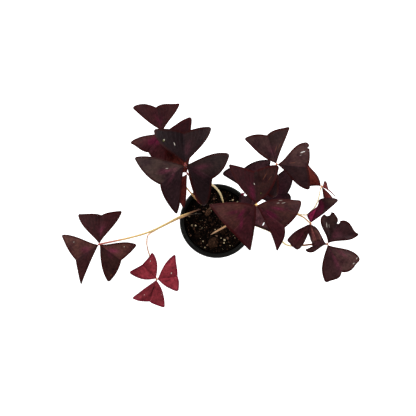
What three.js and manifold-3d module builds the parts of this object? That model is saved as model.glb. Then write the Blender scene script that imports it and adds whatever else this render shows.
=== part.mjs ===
// A purple shamrock (Oxalis triangularis) growing in its round nursery pot.
// Millimetres, +Z up. The origin is the centre of the pot's flat underside.
// Each leaf is a bare petiole, rooted in the soil and ending in a small knob, with three leaflets
// round the knob. A leaflet is a blade of two lobes that hang a little from its midrib, with a
// notch between their tips.
import * as THREE from 'three';
import { mergeVertices } from 'three/addons/utils/BufferGeometryUtils.js';
import Module from 'manifold-3d';

const wasm = await Module();
wasm.setup();

// Pot
const POT_HEIGHT = 90;
const FLOOR_THICKNESS = 1.6;
const WALL_THICKNESS = 1.3;
const BASE_RADIUS = 36;
const BASE_EDGE = 1;
const RIM_RADIUS = 51;
const LIP_WIDTH = 2.6;
const LIP_DROP = 10.5;
const LIP_EDGE_ROUND = 0.8;
const LIP_TAPER = 0.3;
const NECK_RADIUS = 46.8;
const INNER_STEPS = [
  { z: 87.4, radius: 47.8 },
  { z: 87.0, radius: 47.1 },
  { z: 83.6, radius: 46.6 },
  { z: 83.2, radius: 45.9 },
];
const DRAIN_HOLES = 5;
const DRAIN_RADIUS = 4.5;
const DRAIN_CIRCLE = 23;
const CUT_OVERRUN = 1;

// Soil
const GAP = 0.3;
const SOIL_EDGE_TOP = 79.2;
const SOIL_SHOULDER = { radius: 42, z: 79.7 };
const SOIL_TOP = 80;
const ROOT_DEPTH = 6;
const SOCKET_CLEARANCE = 0.5;
const UPRIGHT_FOOT = 2;

// Leaves
const BLADE_THICKNESS = 0.8;
const LINK_LENGTH = 2.1;
const LINK_HALF_WIDTH = 0.7;
const KNOB_RADIUS = 1.8;
const TIP_ROUNDING = 4;
const DROOP_POWER = 1.6;
const FOLD_POWER = 1.3;
const NOTCH_REACH_POWER = 2;
const THIRD = 1 / 3;

// The cubic x (x - 1) (x - 2/3) times this is 1 at one third.
const BULGE_SCALE = 27 / 2;

// How finely curved surfaces are cut
const POT_SEGMENTS = 48;
const HOLE_SEGMENTS = 12;
const STEM_SIDES = 6;
const STEM_STEPS_PER_SPAN = 1.8;
const KNOB_SEGMENTS = 8;
const KNOB_RINGS = 6;
const BLADE_ROWS = 5;
const LOBE_COLUMNS = 3;
const WELD_DISTANCE = 1e-3;

// Every leaf, measured in plan from above.
//   knob: centre of the knob
//   stem: radius of the petiole
//   route: points along the petiole from the soil's surface to just before the knob
//   blades: the three leaflets, where
//     turn: the way the midrib points, in degrees from +X
//     mid: [length of the midrib, drop of the notch below the knob]
//     left, right: [distance from the link to the tip, degrees from the midrib, drop of the tip,
//       how far the side edge bulges out at one third and at two thirds of its chord,
//       how far the end edge, from tip to notch, bulges out at one third and at two thirds]
const LEAVES = {
  a: {
    knob: [-158, -31, 115],
    stem: 1.2,
    route: [[-23, 16, 80], [-37, 11, 92], [-50, 6, 101], [-69, -4, 111], [-90, -14, 118],
      [-113, -21, 122], [-135, -26, 121], [-147, -28.5, 119]],
    blades: [
      { turn: 86, mid: [37.3, 3],
        left: [49.5, 42, 9, 2, 3.5, 0.5, 1.5], right: [53, 31, 9, 1, 2.5, 1, 1.5] },
      { turn: 213, mid: [36.8, 6],
        left: [60.8, 33, 14, -0.5, -0.5, 0, 0], right: [53.4, 48, 12, 1.5, 3, 1, 1.5] },
      { turn: 324, mid: [34.5, 5],
        left: [48.8, 36.5, 12, 2, 3.5, 1, 1], right: [52.3, 44, 14, 3, 3.5, 2.5, 2.5] },
    ],
  },
  b: {
    knob: [-82.5, -80, 88],
    stem: 0.8,
    route: [[-22, 10, 80], [-36, 9, 90], [-50, 4, 96.5], [-69, -5, 105], [-86, -14, 109],
      [-93, -19, 107], [-95, -28, 101], [-95, -37, 90], [-93, -48, 77], [-90, -63, 71], [-86, -74, 77]],
    blades: [
      { turn: 134, mid: [26, 2],
        left: [39, 35, 7, 4.5, 4, 0, 0], right: [36.5, 35.5, 6, 4, 4.5, -1, -0.5] },
      { turn: 8, mid: [27, 2],
        left: [41.5, 47.5, 7, 3, 3.5, 0, 0.5], right: [33.3, 41, 7, 2.5, 2.5, 1, 1.5] },
      { turn: 252, mid: [30.3, 2],
        left: [40.2, 35, 7, 3.5, 3, 0.5, 1], right: [42.8, 36, 6, 0.5, 0.5, 1, 1.5] },
    ],
  },
  c: {
    knob: [-40, 71.5, 205],
    stem: 1.5,
    route: [[10, 18, 80], [9, 25, 92], [7, 31, 103], [4, 38, 114], [-1, 44, 125], [-7, 49, 137],
      [-13, 57, 152], [-22, 63, 170], [-32, 67, 188], [-38, 69, 199]],
    blades: [
      { turn: 93, mid: [38.5, 6],
        left: [59.5, 40, 17, 3.5, 6, 1.5, 2], right: [56.3, 39, 15, 2.5, 4, 2, 1.5] },
      { turn: 218, mid: [38, 5],
        left: [62, 43, 20, 0.5, 2, 2.5, 3], right: [64.3, 48, 15, 2.5, 4, 3.5, 4] },
      { turn: 333, mid: [36, 5],
        left: [56, 43, 15, 3.5, 5, 3.5, 4], right: [55.6, 41, 20, 2.5, 4, 3.5, 2] },
    ],
  },
  e: {
    knob: [-69.5, 115, 170],
    stem: 1.2,
    route: [[-21, 23, 80], [-28, 30, 100], [-34, 37, 110], [-40, 44, 118], [-49, 58, 127],
      [-57, 76, 133], [-64, 94, 145], [-68, 107, 160]],
    blades: [
      { turn: 106, mid: [31.2, 3],
        left: [50.2, 37, 9, 2, 1.5, 4, 3.5], right: [42.7, 48, 9, 0.5, 1.5, 0.5, 2] },
      { turn: 350, mid: [33, 4],
        left: [40.2, 41.5, 9, 0.5, 1.5, 1, 0.5], right: [47, 40, 9, 3, 4, 3.5, 3] },
      { turn: 234, mid: [30, 3],
        left: [39.5, 41.5, 9, 2, 3, 2.5, 3], right: [44.3, 38, 9, 2, 3.5, 0, 1.5] },
    ],
  },
  f: {
    knob: [48, 22, 205],
    stem: 1.3,
    route: [[-8, -19, 80], [-4, -16, 98], [12, -6, 128], [33, 8, 172], [43, 17, 195]],
    blades: [
      { turn: 230, mid: [43.5, 5],
        left: [58, 35, 19, 1.5, 1, 0, 0], right: [58.5, 52, 16, 3.5, 2.5, 0.5, 1] },
      { turn: 321, mid: [43.6, 5],
        left: [56.5, 46, 15, 5.2, 3.5, 4, 3.5], right: [63.5, 28, 20, -1, -2, 2, 3] },
      { turn: 95, mid: [40, 6],
        left: [60.2, 30, 17, 4.5, 4.5, 0.5, 0.5], right: [54.8, 37, 8, 6.2, 5.5, 2.5, 1.5] },
    ],
  },
  g: {
    knob: [46.5, 30.5, 160],
    stem: 1.2,
    route: [[23, 20, 80], [29, 23, 105], [37, 26, 132], [44, 29.5, 150]],
    blades: [
      { turn: 106.5, mid: [39, 4],
        left: [50, 37.5, 10, -1.8, -1.2, 4.6, 4.5], right: [53.5, 43.5, 10, 1.5, 2.5, 3.5, 3.5] },
      { turn: 9, mid: [43.5, 4],
        left: [57, 34, 10, 0.5, 1.5, 6.5, 5.6], right: [43, 23, 10, 0, 3.5, 3.5, 4.5] },
      { turn: 241, mid: [25.5, 4],
        left: [49, 58, 12, 2.5, 2.5, 1, 3], right: [17.5, 94, 8, 1, 2, 3.5, 2.5] },
    ],
  },
  h: {
    knob: [74, 72.5, 190],
    stem: 1.2,
    route: [[30, 19, 80], [40, 25, 100], [52, 35, 130], [61, 49, 154], [67, 60, 172], [72, 68, 184]],
    blades: [
      { turn: 108, mid: [36.8, 4],
        left: [51, 34, 12, 3.5, 2.5, 2.5, 2.5], right: [50.3, 40, 11, -0.5, 0, 1.5, 2.5] },
      { turn: 355, mid: [37.5, 4],
        left: [49, 41, 11, 2.5, 5.5, 1.5, 2], right: [52.4, 32.5, 16, 2.2, 4.5, 1, 1] },
      { turn: 244, mid: [33.5, 6],
        left: [38, 31, 14, 1.5, 2, 4.5, 3.5], right: [34.5, 34, 13, 4, 3.5, 5, 5] },
    ],
  },
  i: {
    knob: [136.5, 46, 145],
    stem: 1,
    route: [[36, 14, 80], [52, 11, 102], [77, 11, 122], [96, 11, 134], [107, 10, 140], [117, 9, 144],
      [124, 15, 145], [128, 20, 146], [131, 27, 147], [133, 34, 148], [135, 43, 147]],
    blades: [
      { turn: 154, mid: [34, 4],
        left: [22, 24, 8, 0, 1, 2, 1], right: [39, 36, 9, 3, 0.8, 4.5, 3] },
      { turn: 298, mid: [28, 6],
        left: [25, 18, 12, 1, 1, 1.5, 1], right: [25, 15, 17, 0.5, 0.5, 1.5, 1] },
      { turn: 339, mid: [9, 6],
        left: [10.5, 95, 6, 0.5, 0.5, 1, 0.5], right: [24.5, 17, 12, -1, -1, 0.9, 0.9] },
    ],
  },
  j: {
    knob: [146, -30, 130],
    stem: 1.2,
    route: [[26, 2, 80], [39, -1, 94], [61, -9, 106], [72, -14, 111], [86, -26, 116], [95, -32, 118],
      [115, -32, 121], [124, -31, 120], [135, -31, 119], [142, -30, 124]],
    blades: [
      { turn: 183, mid: [18, 3],
        left: [29.5, 12, 8, 3, 6, -1, -1.5], right: [36.5, 49, 9, 4, 6.5, 1, 0] },
      { turn: 63, mid: [30.5, 4],
        left: [42.5, 17, 9, 7.5, 14.5, 1, 1.5], right: [45, 48, 8, 1.5, 4, 1.5, 6.5] },
      { turn: 298, mid: [40.5, 4],
        left: [49.5, 38, 10, 3.5, 6, 2, 4], right: [51, 30, 10, 5, 6, 1.5, 3.5] },
    ],
  },
  k: {
    knob: [-38.5, 62.5, 158],
    stem: 1.2,
    route: [[-15, 30, 80], [-19, 38, 100], [-25, 47, 122], [-32, 56, 142], [-36, 60, 152]],
    blades: [
      { turn: 122, mid: [33.5, 3],
        left: [41.5, 22, 10, 6.5, 4, 4, 3.5], right: [34, 42, 10, 0.5, 1, 3, 2.5] },
      { turn: 248, mid: [32, 4],
        left: [44.5, 16, 12, 1, 2, 0, 0], right: [41.5, 32, 12, 2.5, 2.5, 2, 2] },
      { turn: 314, mid: [29.5, 4],
        left: [30.5, 22, 9, 2, 2.5, 3, 1.5], right: [42, 24, 11, 1.5, 2, 2.5, 2] },
    ],
  },
  l: {
    knob: [119.5, -2, 165],
    stem: 1.2,
    route: [[30, 9, 80], [45, 8, 110], [63, 8, 138], [81, 10, 156], [100, 10, 167], [110, 6, 169],
      [116, 1, 168]],
    blades: [
      { turn: 68, mid: [32, 3],
        left: [29.5, 4, 8, 6.5, -1, 0, 0], right: [47.5, 31, 12, 1, 1, 2, 2] },
      { turn: 235, mid: [35.5, 4],
        left: [36, 13, 8, 2.5, 2.5, 0.5, 0.5], right: [36, 18, 12, 3, 3.5, -1, 0] },
      { turn: 291, mid: [23, 5],
        left: [24, 20, 13, 2.5, 2.5, 1.5, 1], right: [23, 18, 12, 2, 1.5, 1, 0.5] },
    ],
  },
};

const BLACK_PLASTIC = { color: 0x262725, roughness: 0.45 };
const BARK_MIX = { color: 0x2a1d14, roughness: 0.95 };
const STEM_TAN = { color: 0xd9b778, roughness: 0.5 };
const BLADE_PURPLE = { color: 0x3c232c, roughness: 0.55 };
const BLADE_CRIMSON = { color: 0x8e2238, roughness: 0.55 };
const BLADE_RUSSET = { color: 0x5c2022, roughness: 0.55 };
const BLADE_FINISHES = { b: BLADE_CRIMSON, i: BLADE_RUSSET, k: BLADE_RUSSET };

function solidOf(geometry) {
  const bare = geometry.clone();
  bare.deleteAttribute('normal');
  bare.deleteAttribute('uv');
  const merged = mergeVertices(bare, WELD_DISTANCE);
  return new wasm.Manifold(new wasm.Mesh({
    numProp: 3,
    vertProperties: merged.attributes.position.array,
    triVerts: new Uint32Array(merged.index.array),
  }));
}

function geometryOf(solid) {
  const mesh = solid.getMesh();
  const geometry = new THREE.BufferGeometry();
  geometry.setAttribute('position', new THREE.BufferAttribute(mesh.vertProperties, 3));
  geometry.setIndex(new THREE.BufferAttribute(mesh.triVerts, 1));
  geometry.computeVertexNormals();
  return geometry;
}

function turned(profile) {
  const points = profile.map(([radius, z]) => new THREE.Vector2(radius, z));
  return new THREE.LatheGeometry(points, POT_SEGMENTS).rotateX(Math.PI / 2);
}

function uprightRod(radius, bottom, top, x, y) {
  const rod = new THREE.CylinderGeometry(radius, radius, top - bottom, HOLE_SEGMENTS);
  return rod.rotateX(Math.PI / 2).translate(x, y, (bottom + top) / 2);
}

// Radius of the pot's inner wall between the floor and the lowest inner step.
function innerWallRadius(z) {
  const lowestStep = INNER_STEPS[INNER_STEPS.length - 1];
  const floorRadius = BASE_RADIUS - WALL_THICKNESS;
  const share = (z - FLOOR_THICKNESS) / (lowestStep.z - FLOOR_THICKNESS);
  return floorRadius + (lowestStep.radius - floorRadius) * share;
}

function potGeometry() {
  const lipBottom = POT_HEIGHT - LIP_DROP;
  let pot = solidOf(turned([
    [0, 0],
    [BASE_RADIUS - BASE_EDGE, 0],
    [BASE_RADIUS, BASE_EDGE],
    [NECK_RADIUS, lipBottom],
    [RIM_RADIUS - LIP_EDGE_ROUND, lipBottom],
    [RIM_RADIUS - LIP_TAPER, lipBottom + LIP_EDGE_ROUND],
    [RIM_RADIUS, POT_HEIGHT - LIP_EDGE_ROUND],
    [RIM_RADIUS - LIP_EDGE_ROUND, POT_HEIGHT],
    [RIM_RADIUS - LIP_WIDTH, POT_HEIGHT],
    ...INNER_STEPS.map((step) => [step.radius, step.z]),
    [innerWallRadius(FLOOR_THICKNESS), FLOOR_THICKNESS],
    [0, FLOOR_THICKNESS],
  ]));
  for (let i = 0; i < DRAIN_HOLES; i += 1) {
    const angle = (2 * Math.PI * i) / DRAIN_HOLES;
    const x = DRAIN_CIRCLE * Math.cos(angle);
    const y = DRAIN_CIRCLE * Math.sin(angle);
    const hole = uprightRod(DRAIN_RADIUS, -CUT_OVERRUN, FLOOR_THICKNESS + CUT_OVERRUN, x, y);
    pot = pot.subtract(solidOf(hole));
  }
  return geometryOf(pot);
}

// The cake of soil stands clear of the pot by the gap and has a socket for the foot of every petiole.
function soilGeometry() {
  const floor = FLOOR_THICKNESS + GAP;
  let soil = solidOf(turned([
    [0, floor],
    [innerWallRadius(floor) - GAP, floor],
    [innerWallRadius(SOIL_EDGE_TOP) - GAP, SOIL_EDGE_TOP],
    [SOIL_SHOULDER.radius, SOIL_SHOULDER.z],
    [0, SOIL_TOP],
  ]));
  for (const { stem, route } of Object.values(LEAVES)) {
    const [x, y] = route[0];
    const radius = stem + SOCKET_CLEARANCE;
    const socket = uprightRod(radius, SOIL_TOP - ROOT_DEPTH, SOIL_TOP + CUT_OVERRUN, x, y);
    soil = soil.subtract(solidOf(socket));
  }
  return geometryOf(soil);
}

// A petiole runs from its socket, straight up out of the soil and along its route to the knob.
function petioleGeometry({ knob, stem, route }) {
  const [x, y] = route[0];
  const points = [
    [x, y, SOIL_TOP - ROOT_DEPTH + GAP],
    [x, y, SOIL_TOP + UPRIGHT_FOOT],
    ...route.slice(1),
    knob,
  ].map((point) => new THREE.Vector3(...point));
  const path = new THREE.CatmullRomCurve3(points, false, 'centripetal');
  const section = new THREE.Shape().absarc(0, 0, stem, 0, 2 * Math.PI);
  const tube = new THREE.ExtrudeGeometry(section, {
    steps: Math.round(points.length * STEM_STEPS_PER_SPAN),
    curveSegments: STEM_SIDES / 2,
    bevelEnabled: false,
    extrudePath: path,
  });
  const ball = new THREE.SphereGeometry(KNOB_RADIUS, KNOB_SEGMENTS, KNOB_RINGS).translate(...knob);
  return geometryOf(solidOf(tube).add(solidOf(ball)));
}

// A curve over the chord from start to end that stands off it by the two bulges, at one third and at
// two thirds of the way, on the side that `outward` names (+1 left of the chord, -1 right of it).
function bulgedEdge(start, end, [atThird, atTwoThirds], outward) {
  const chord = end.clone().sub(start);
  const sideways = new THREE.Vector2(-chord.y, chord.x).normalize().multiplyScalar(outward);
  return (share) => {
    const hump = BULGE_SCALE * share * (share - 1);
    const height = hump * ((share - 2 * THIRD) * atThird - (share - THIRD) * atTwoThirds);
    return start.clone().addScaledVector(chord, share).addScaledVector(sideways, height);
  };
}

// One lobe as a function of s, from the link (0) to the end edge (1), and t, from the side edge (0)
// to the midrib (1). `side` is +1 for the left lobe and -1 for the right one.
function lobeSurface(blade, lobe, side) {
  const [reach, spread, tipDrop, ...bulges] = lobe;
  const [midLength, notchDrop] = blade.mid;
  const polar = (distance, degrees) => {
    const angle = THREE.MathUtils.degToRad(blade.turn + side * degrees);
    return new THREE.Vector2(distance * Math.cos(angle), distance * Math.sin(angle));
  };
  const link = polar(LINK_LENGTH, 0);
  const foot = link.clone().add(polar(LINK_HALF_WIDTH, 90));
  const tip = link.clone().add(polar(reach, spread));
  const notch = link.clone().add(polar(midLength, 0));
  const sideEdge = bulgedEdge(foot, tip, bulges.slice(0, 2), side);
  const endEdge = bulgedEdge(tip, notch, bulges.slice(2), side);

  // The tip is rounded by a curve that leaves both edges a short way before they would meet.
  const sideCut = TIP_ROUNDING / tip.distanceTo(foot);
  const endCut = TIP_ROUNDING / tip.distanceTo(notch);
  const corner = new THREE.QuadraticBezierCurve(sideEdge(1 - sideCut), tip, endEdge(endCut));
  const along = (s) => (
    s < 1 - sideCut ? sideEdge(s) : corner.getPoint((s - 1 + sideCut) / (2 * sideCut))
  );
  const across = (t) => (t > endCut ? endEdge(t) : corner.getPoint(0.5 + t / (2 * endCut)));
  const roundTip = corner.getPoint(0.5);

  return (s, t) => {
    const point = along(s).multiplyScalar(1 - t).add(link.clone().lerp(notch, s).multiplyScalar(t));
    const bow = across(t).sub(roundTip.clone().lerp(notch, t));
    point.addScaledVector(bow, s ** NOTCH_REACH_POWER);
    const fold = (1 - t) ** FOLD_POWER;
    const drop = (notchDrop + (tipDrop - notchDrop) * fold) * s ** DROOP_POWER;
    return new THREE.Vector3(point.x, point.y, -drop);
  };
}

// A leaflet is a thin slab, bent over its two lobes. Its x runs from the left side edge over the
// midrib to the right side edge, its y from the link to the end edge, and its z through the blade.
function bladeGeometry(blade) {
  const left = lobeSurface(blade, blade.left, 1);
  const right = lobeSurface(blade, blade.right, -1);
  const slab = new THREE.BoxGeometry(2, 1, BLADE_THICKNESS, 2 * LOBE_COLUMNS, BLADE_ROWS, 1);
  const geometry = slab.translate(0, 0.5, 0);
  const position = geometry.attributes.position;
  for (let i = 0; i < position.count; i += 1) {
    const x = position.getX(i);
    const lobe = x < 0 ? left : right;
    const point = lobe(position.getY(i), 1 - Math.abs(x));
    position.setXYZ(i, point.x, point.y, point.z + position.getZ(i));
  }
  geometry.computeVertexNormals();
  return geometry;
}

function mesh(name, geometry, finish) {
  const material = new THREE.MeshStandardMaterial({ ...finish, metalness: 0 });
  const made = new THREE.Mesh(geometry, material);
  made.name = name;
  return made;
}

function leafGroup(letter, leaf) {
  const group = new THREE.Group();
  group.add(mesh(`petiole_${letter}`, petioleGeometry(leaf), STEM_TAN));
  const bladeFinish = BLADE_FINISHES[letter] ?? BLADE_PURPLE;
  leaf.blades.forEach((blade, index) => {
    const leaflet = mesh(`leaflet_${letter}${index + 1}`, bladeGeometry(blade), bladeFinish);
    leaflet.position.set(...leaf.knob);
    group.add(leaflet);
  });
  return group;
}

const plant = new THREE.Group();
plant.add(mesh('pot', potGeometry(), BLACK_PLASTIC));
plant.add(mesh('soil', soilGeometry(), BARK_MIX));
for (const [letter, leaf] of Object.entries(LEAVES)) {
  plant.add(leafGroup(letter, leaf));
}

export default plant;
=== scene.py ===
"""A purple shamrock growing in its round nursery pot, dressed for rendering.

Sizes are millimetres in the part's own frame: +Z up, origin at the centre of the pot's underside.
Each mesh is scaled to metres as it is finished.
"""

import logging
import math
import random
from dataclasses import dataclass, field
from enum import Enum
from functools import cached_property
from typing import Any, Callable, Iterable, Sequence

import bmesh
import bpy
from mathutils import Matrix, Quaternion, Vector, noise


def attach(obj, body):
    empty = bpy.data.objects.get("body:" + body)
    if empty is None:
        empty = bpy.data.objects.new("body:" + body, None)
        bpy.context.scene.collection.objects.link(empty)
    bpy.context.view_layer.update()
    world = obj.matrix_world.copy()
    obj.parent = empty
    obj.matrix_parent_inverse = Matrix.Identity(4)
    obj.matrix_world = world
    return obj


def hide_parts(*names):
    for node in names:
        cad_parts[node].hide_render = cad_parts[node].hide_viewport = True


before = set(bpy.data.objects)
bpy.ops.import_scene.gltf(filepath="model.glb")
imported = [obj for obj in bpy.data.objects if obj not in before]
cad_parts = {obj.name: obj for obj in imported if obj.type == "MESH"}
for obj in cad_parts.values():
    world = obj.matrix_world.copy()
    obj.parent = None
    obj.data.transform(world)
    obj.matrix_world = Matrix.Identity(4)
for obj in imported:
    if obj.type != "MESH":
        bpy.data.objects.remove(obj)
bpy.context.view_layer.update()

MM = 0.001
THIRD = 1 / 3
FULL_TURN = 2 * math.pi
ROOT_BODY = "root"
log = logging.getLogger("shamrock")

RGB = tuple[float, float, float]
Point = tuple[float, float, float]


# ---------------------------------------------------------------- shading tools


def linear(colour: RGB) -> tuple[float, float, float, float]:
    """Turn a display colour of 0 to 255 into the linear colour that a shader takes.

    Args:
        colour: Red, green and blue as a display shows them.

    Returns:
        Linear red, green, blue and an alpha of 1.
    """
    shares = [channel / 255 for channel in colour]
    values = [s / 12.92 if s <= 0.04045 else ((s + 0.055) / 1.055) ** 2.4 for s in shares]
    return (values[0], values[1], values[2], 1.0)


@dataclass(frozen=True)
class Signal:
    """A value that changes over a surface, which Python's operators can work on."""

    shader: "Shader"
    socket: bpy.types.NodeSocket

    def math(self, operation: str, *others: Any, swap: bool = False, clamp: bool = False) -> "Signal":
        """Add one Math node.

        Args:
            operation: The node's operation.
            others: Its other values or signals.
            swap: Whether this signal is the second value and not the first.
            clamp: Whether the result is held between 0 and 1.

        Returns:
            The node's result.
        """
        values = [*others, self] if swap else [self, *others]
        settings = {"operation": operation, "use_clamp": clamp}
        return self.shader.add("ShaderNodeMath", settings, dict(enumerate(values)))

    def __add__(self, other: Any) -> "Signal":
        """Sum."""
        return self.math("ADD", other)

    __radd__ = __add__

    def __mul__(self, other: Any) -> "Signal":
        """Product."""
        return self.math("MULTIPLY", other)

    def __sub__(self, other: Any) -> "Signal":
        """Difference."""
        return self.math("SUBTRACT", other)

    def __rsub__(self, other: Any) -> "Signal":
        """Difference from a number."""
        return self.math("SUBTRACT", other, swap=True)

    def sine(self) -> "Signal":
        """Sine of this signal in radians."""
        return self.math("SINE")

    def size(self) -> "Signal":
        """Absolute value."""
        return self.math("ABSOLUTE")

    def held(self) -> "Signal":
        """This signal held between 0 and 1."""
        return self.math("ADD", 0.0, clamp=True)

    def over(self, low: float, high: float) -> "Signal":
        """A smooth step between two values of this signal.

        Args:
            low: Where it is 0.
            high: Where it is 1, which may be under low.

        Returns:
            The step.
        """
        if high < low:
            return 1 - self.over(high, low)
        settings = {"interpolation_type": "SMOOTHSTEP"}
        return self.shader.add("ShaderNodeMapRange", settings, {0: self, 1: low, 2: high})


class Shader:
    """One material and the nodes that are added to it."""

    MIX_SOCKETS = (6, 7)
    MIX_RESULT = 2

    def __init__(self, name: str) -> None:
        """Start an empty material.

        Args:
            name: The material's name.
        """
        self.material = bpy.data.materials.new(name)
        self.material.use_nodes = True
        self.tree = self.material.node_tree
        self.tree.nodes.clear()

    def add(self, kind: str, settings: dict[str, Any], values: dict[Any, Any], result: Any = 0) -> Signal:
        """Add any node.

        Args:
            kind: The node's type.
            settings: Its settings, which are set first. A ramp's stops are pairs of place and colour.
            values: Its sockets, by name or number, each with a value or a signal to link.
            result: The name or number of the output to return.

        Returns:
            The chosen output.
        """
        node = self.tree.nodes.new(kind)
        for key, value in settings.items():
            if key == "stops":
                self._set_stops(node.color_ramp, value)
            else:
                setattr(node, key, value)
        for key, value in values.items():
            if isinstance(value, Signal):
                self.tree.links.new(value.socket, node.inputs[key])
            else:
                node.inputs[key].default_value = value
        return Signal(self, node.outputs[result])

    @staticmethod
    def _set_stops(ramp: bpy.types.ColorRamp, stops: Sequence[tuple[float, RGB]]) -> None:
        """Give a ramp its stops.

        Args:
            ramp: The ramp.
            stops: Places from 0 to 1 in rising order, each with a display colour.
        """
        while len(ramp.elements) < len(stops):
            ramp.elements.new(1.0)
        for element, (place, colour) in zip(ramp.elements, stops):
            element.position = place
            element.color = linear(colour)

    def attribute(self, name: str) -> Signal:
        """A number that the mesh carries at its vertices."""
        return self.add("ShaderNodeAttribute", {"attribute_name": name}, {}, "Fac")

    def place(self, name: str = "Object") -> Signal:
        """The surface's own coordinates, in the object's frame or as its UV map."""
        return self.add("ShaderNodeTexCoord", {}, {}, name)

    def part(self, vector: Signal, axis: int) -> Signal:
        """One component of a vector."""
        return self.add("ShaderNodeSeparateXYZ", {}, {0: vector}, axis)

    def stretched(self, vector: Signal, factors: Point) -> Signal:
        """A vector with each component multiplied."""
        return self.add("ShaderNodeVectorMath", {"operation": "MULTIPLY"}, {0: vector, 1: factors})

    def noise(self, scale: float, detail: float = 2.0, place: Signal | None = None,
              warp: float = 0.0) -> Signal:
        """Smooth noise from 0 to 1.

        Args:
            scale: Features per metre, or per unit of the given place.
            detail: How many finer layers it holds.
            place: Where it is read, or the object's own coordinates.
            warp: How much it is distorted.

        Returns:
            The noise.
        """
        values = {"Vector": place or self.place(), "Scale": scale, "Detail": detail, "Distortion": warp}
        return self.add("ShaderNodeTexNoise", {}, values, 0)

    def cells(self, scale: float) -> Signal:
        """Distance to the nearest of many scattered points."""
        return self.add("ShaderNodeTexVoronoi", {}, {"Vector": self.place(), "Scale": scale}, "Distance")

    def ramp(self, factor: Signal, stops: Sequence[tuple[float, RGB]]) -> Signal:
        """A colour that follows a factor through stops."""
        return self.add("ShaderNodeValToRGB", {"stops": stops}, {0: factor}, 0)

    def mix(self, factor: Signal | float, low: Any, high: Any, blend: str = "MIX") -> Signal:
        """Mix two colours.

        Args:
            factor: How much of the second colour there is.
            low: The first colour, as a signal or a display colour.
            high: The second one.
            blend: The node's blend type.

        Returns:
            The mixed colour.
        """
        sockets = dict(zip(self.MIX_SOCKETS, (self._colour(low), self._colour(high))))
        settings = {"data_type": "RGBA", "blend_type": blend, "clamp_factor": True}
        return self.add("ShaderNodeMix", settings, {0: factor, **sockets}, self.MIX_RESULT)

    @staticmethod
    def _colour(value: Any) -> Any:
        """A signal as it is, or a display colour made linear."""
        return value if isinstance(value, Signal) else linear(value)

    def bump(self, height: Signal, depth: float, strength: float = 1.0) -> Signal:
        """A normal that follows a height.

        Args:
            height: The height, from 0 to 1.
            depth: How deep a height of 1 is, in metres.
            strength: How much of it shows.

        Returns:
            The normal.
        """
        return self.add("ShaderNodeBump", {}, {"Height": height, "Distance": depth, "Strength": strength})

    def finish(self, **sockets: Any) -> bpy.types.Material:
        """End the tree with a principled shader.

        Args:
            sockets: The shader's sockets, with underscores for spaces.

        Returns:
            The finished material.
        """
        values = {name.replace("_", " "): value for name, value in sockets.items()}
        surface = self.add("ShaderNodeBsdfPrincipled", {}, values)
        output = self.tree.nodes.new("ShaderNodeOutputMaterial")
        self.tree.links.new(surface.socket, output.inputs["Surface"])
        return self.material


# ---------------------------------------------------------------- mesh tools


def new_object(name: str, body: bmesh.types.BMesh) -> bpy.types.Object:
    """Store a bmesh, which stays as it is, in a new object of the scene.

    Args:
        name: The object's name.
        body: The bmesh.

    Returns:
        The object, at the origin.
    """
    mesh = bpy.data.meshes.new(name)
    body.to_mesh(mesh)
    made = bpy.data.objects.new(name, mesh)
    bpy.context.scene.collection.objects.link(made)
    return made


@dataclass
class Piece:
    """One piece of the visual model, from its finished bmesh to its place on the frame.

    Attributes:
        name: Its name.
        body: Its bmesh, in millimetres.
        material: What it is made of.
        slot: The record's material slot, which is not used.
        nodes: The CAD nodes that it stands for.
        crease: The smallest angle between faces that is shaded as an edge.
    """

    name: str
    body: bmesh.types.BMesh
    material: bpy.types.Material
    slot: str
    nodes: tuple[str, ...] = ()
    crease: float = math.radians(45)

    def place(self) -> bpy.types.Object:
        """Scale the mesh to metres, store it, and let it ride on the root body.

        Returns:
            The new object, at the origin, with its place in its mesh.
        """
        bmesh.ops.scale(self.body, vec=(MM, MM, MM), verts=self.body.verts)
        for face in self.body.faces:
            face.smooth = True
        for edge in self.body.edges:
            edge.smooth = edge.calc_face_angle(0.0) < self.crease
        made = new_object(self.name, self.body)
        self.body.free()
        made.data.materials.append(self.material)
        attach(made, ROOT_BODY)
        if self.nodes:
            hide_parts(*self.nodes)
        log.info("%s: %d faces", self.name, len(made.data.polygons))
        return made


def fill_layer(layer: Any, items: Iterable[Any], value: float) -> None:
    """Give one number to a layer of many vertices.

    Args:
        layer: The bmesh layer.
        items: The vertices.
        value: The number.
    """
    for item in items:
        item[layer] = value


def carve(body: bmesh.types.BMesh, cutter: bmesh.types.BMesh) -> None:
    """Cut one closed body out of another with a boolean modifier.

    Args:
        body: The body, which is changed.
        cutter: What is cut out, which is freed.
    """
    kept, tool = new_object("kept", body), new_object("cutter", cutter)
    cutter.free()
    cut = kept.modifiers.new("cut", "BOOLEAN")
    cut.object = tool
    cut.operation = "DIFFERENCE"
    cut.solver = "EXACT"
    evaluated = kept.evaluated_get(bpy.context.evaluated_depsgraph_get())
    body.clear()
    body.from_mesh(evaluated.to_mesh())
    for used in (kept, tool):
        bpy.data.objects.remove(used)


def clean_cut(body: bmesh.types.BMesh, sliver: float = 0.01) -> None:
    """Merge the slivers that a boolean leaves, and take out triangles that lie back to back.

    Args:
        body: The cut body.
        sliver: The length under which an edge is merged.
    """
    bmesh.ops.remove_doubles(body, verts=body.verts, dist=sliver)
    bmesh.ops.dissolve_degenerate(body, dist=sliver, edges=body.edges)
    bmesh.ops.triangulate(body, faces=[face for face in body.faces if len(face.verts) > 4])
    seen: dict[frozenset[bmesh.types.BMVert], bmesh.types.BMFace] = {}
    doubled = set()
    for face in body.faces:
        first = seen.setdefault(frozenset(face.verts), face)
        if first is not face:
            doubled |= {first, face}
    bmesh.ops.delete(body, geom=list(doubled), context="FACES")


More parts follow.
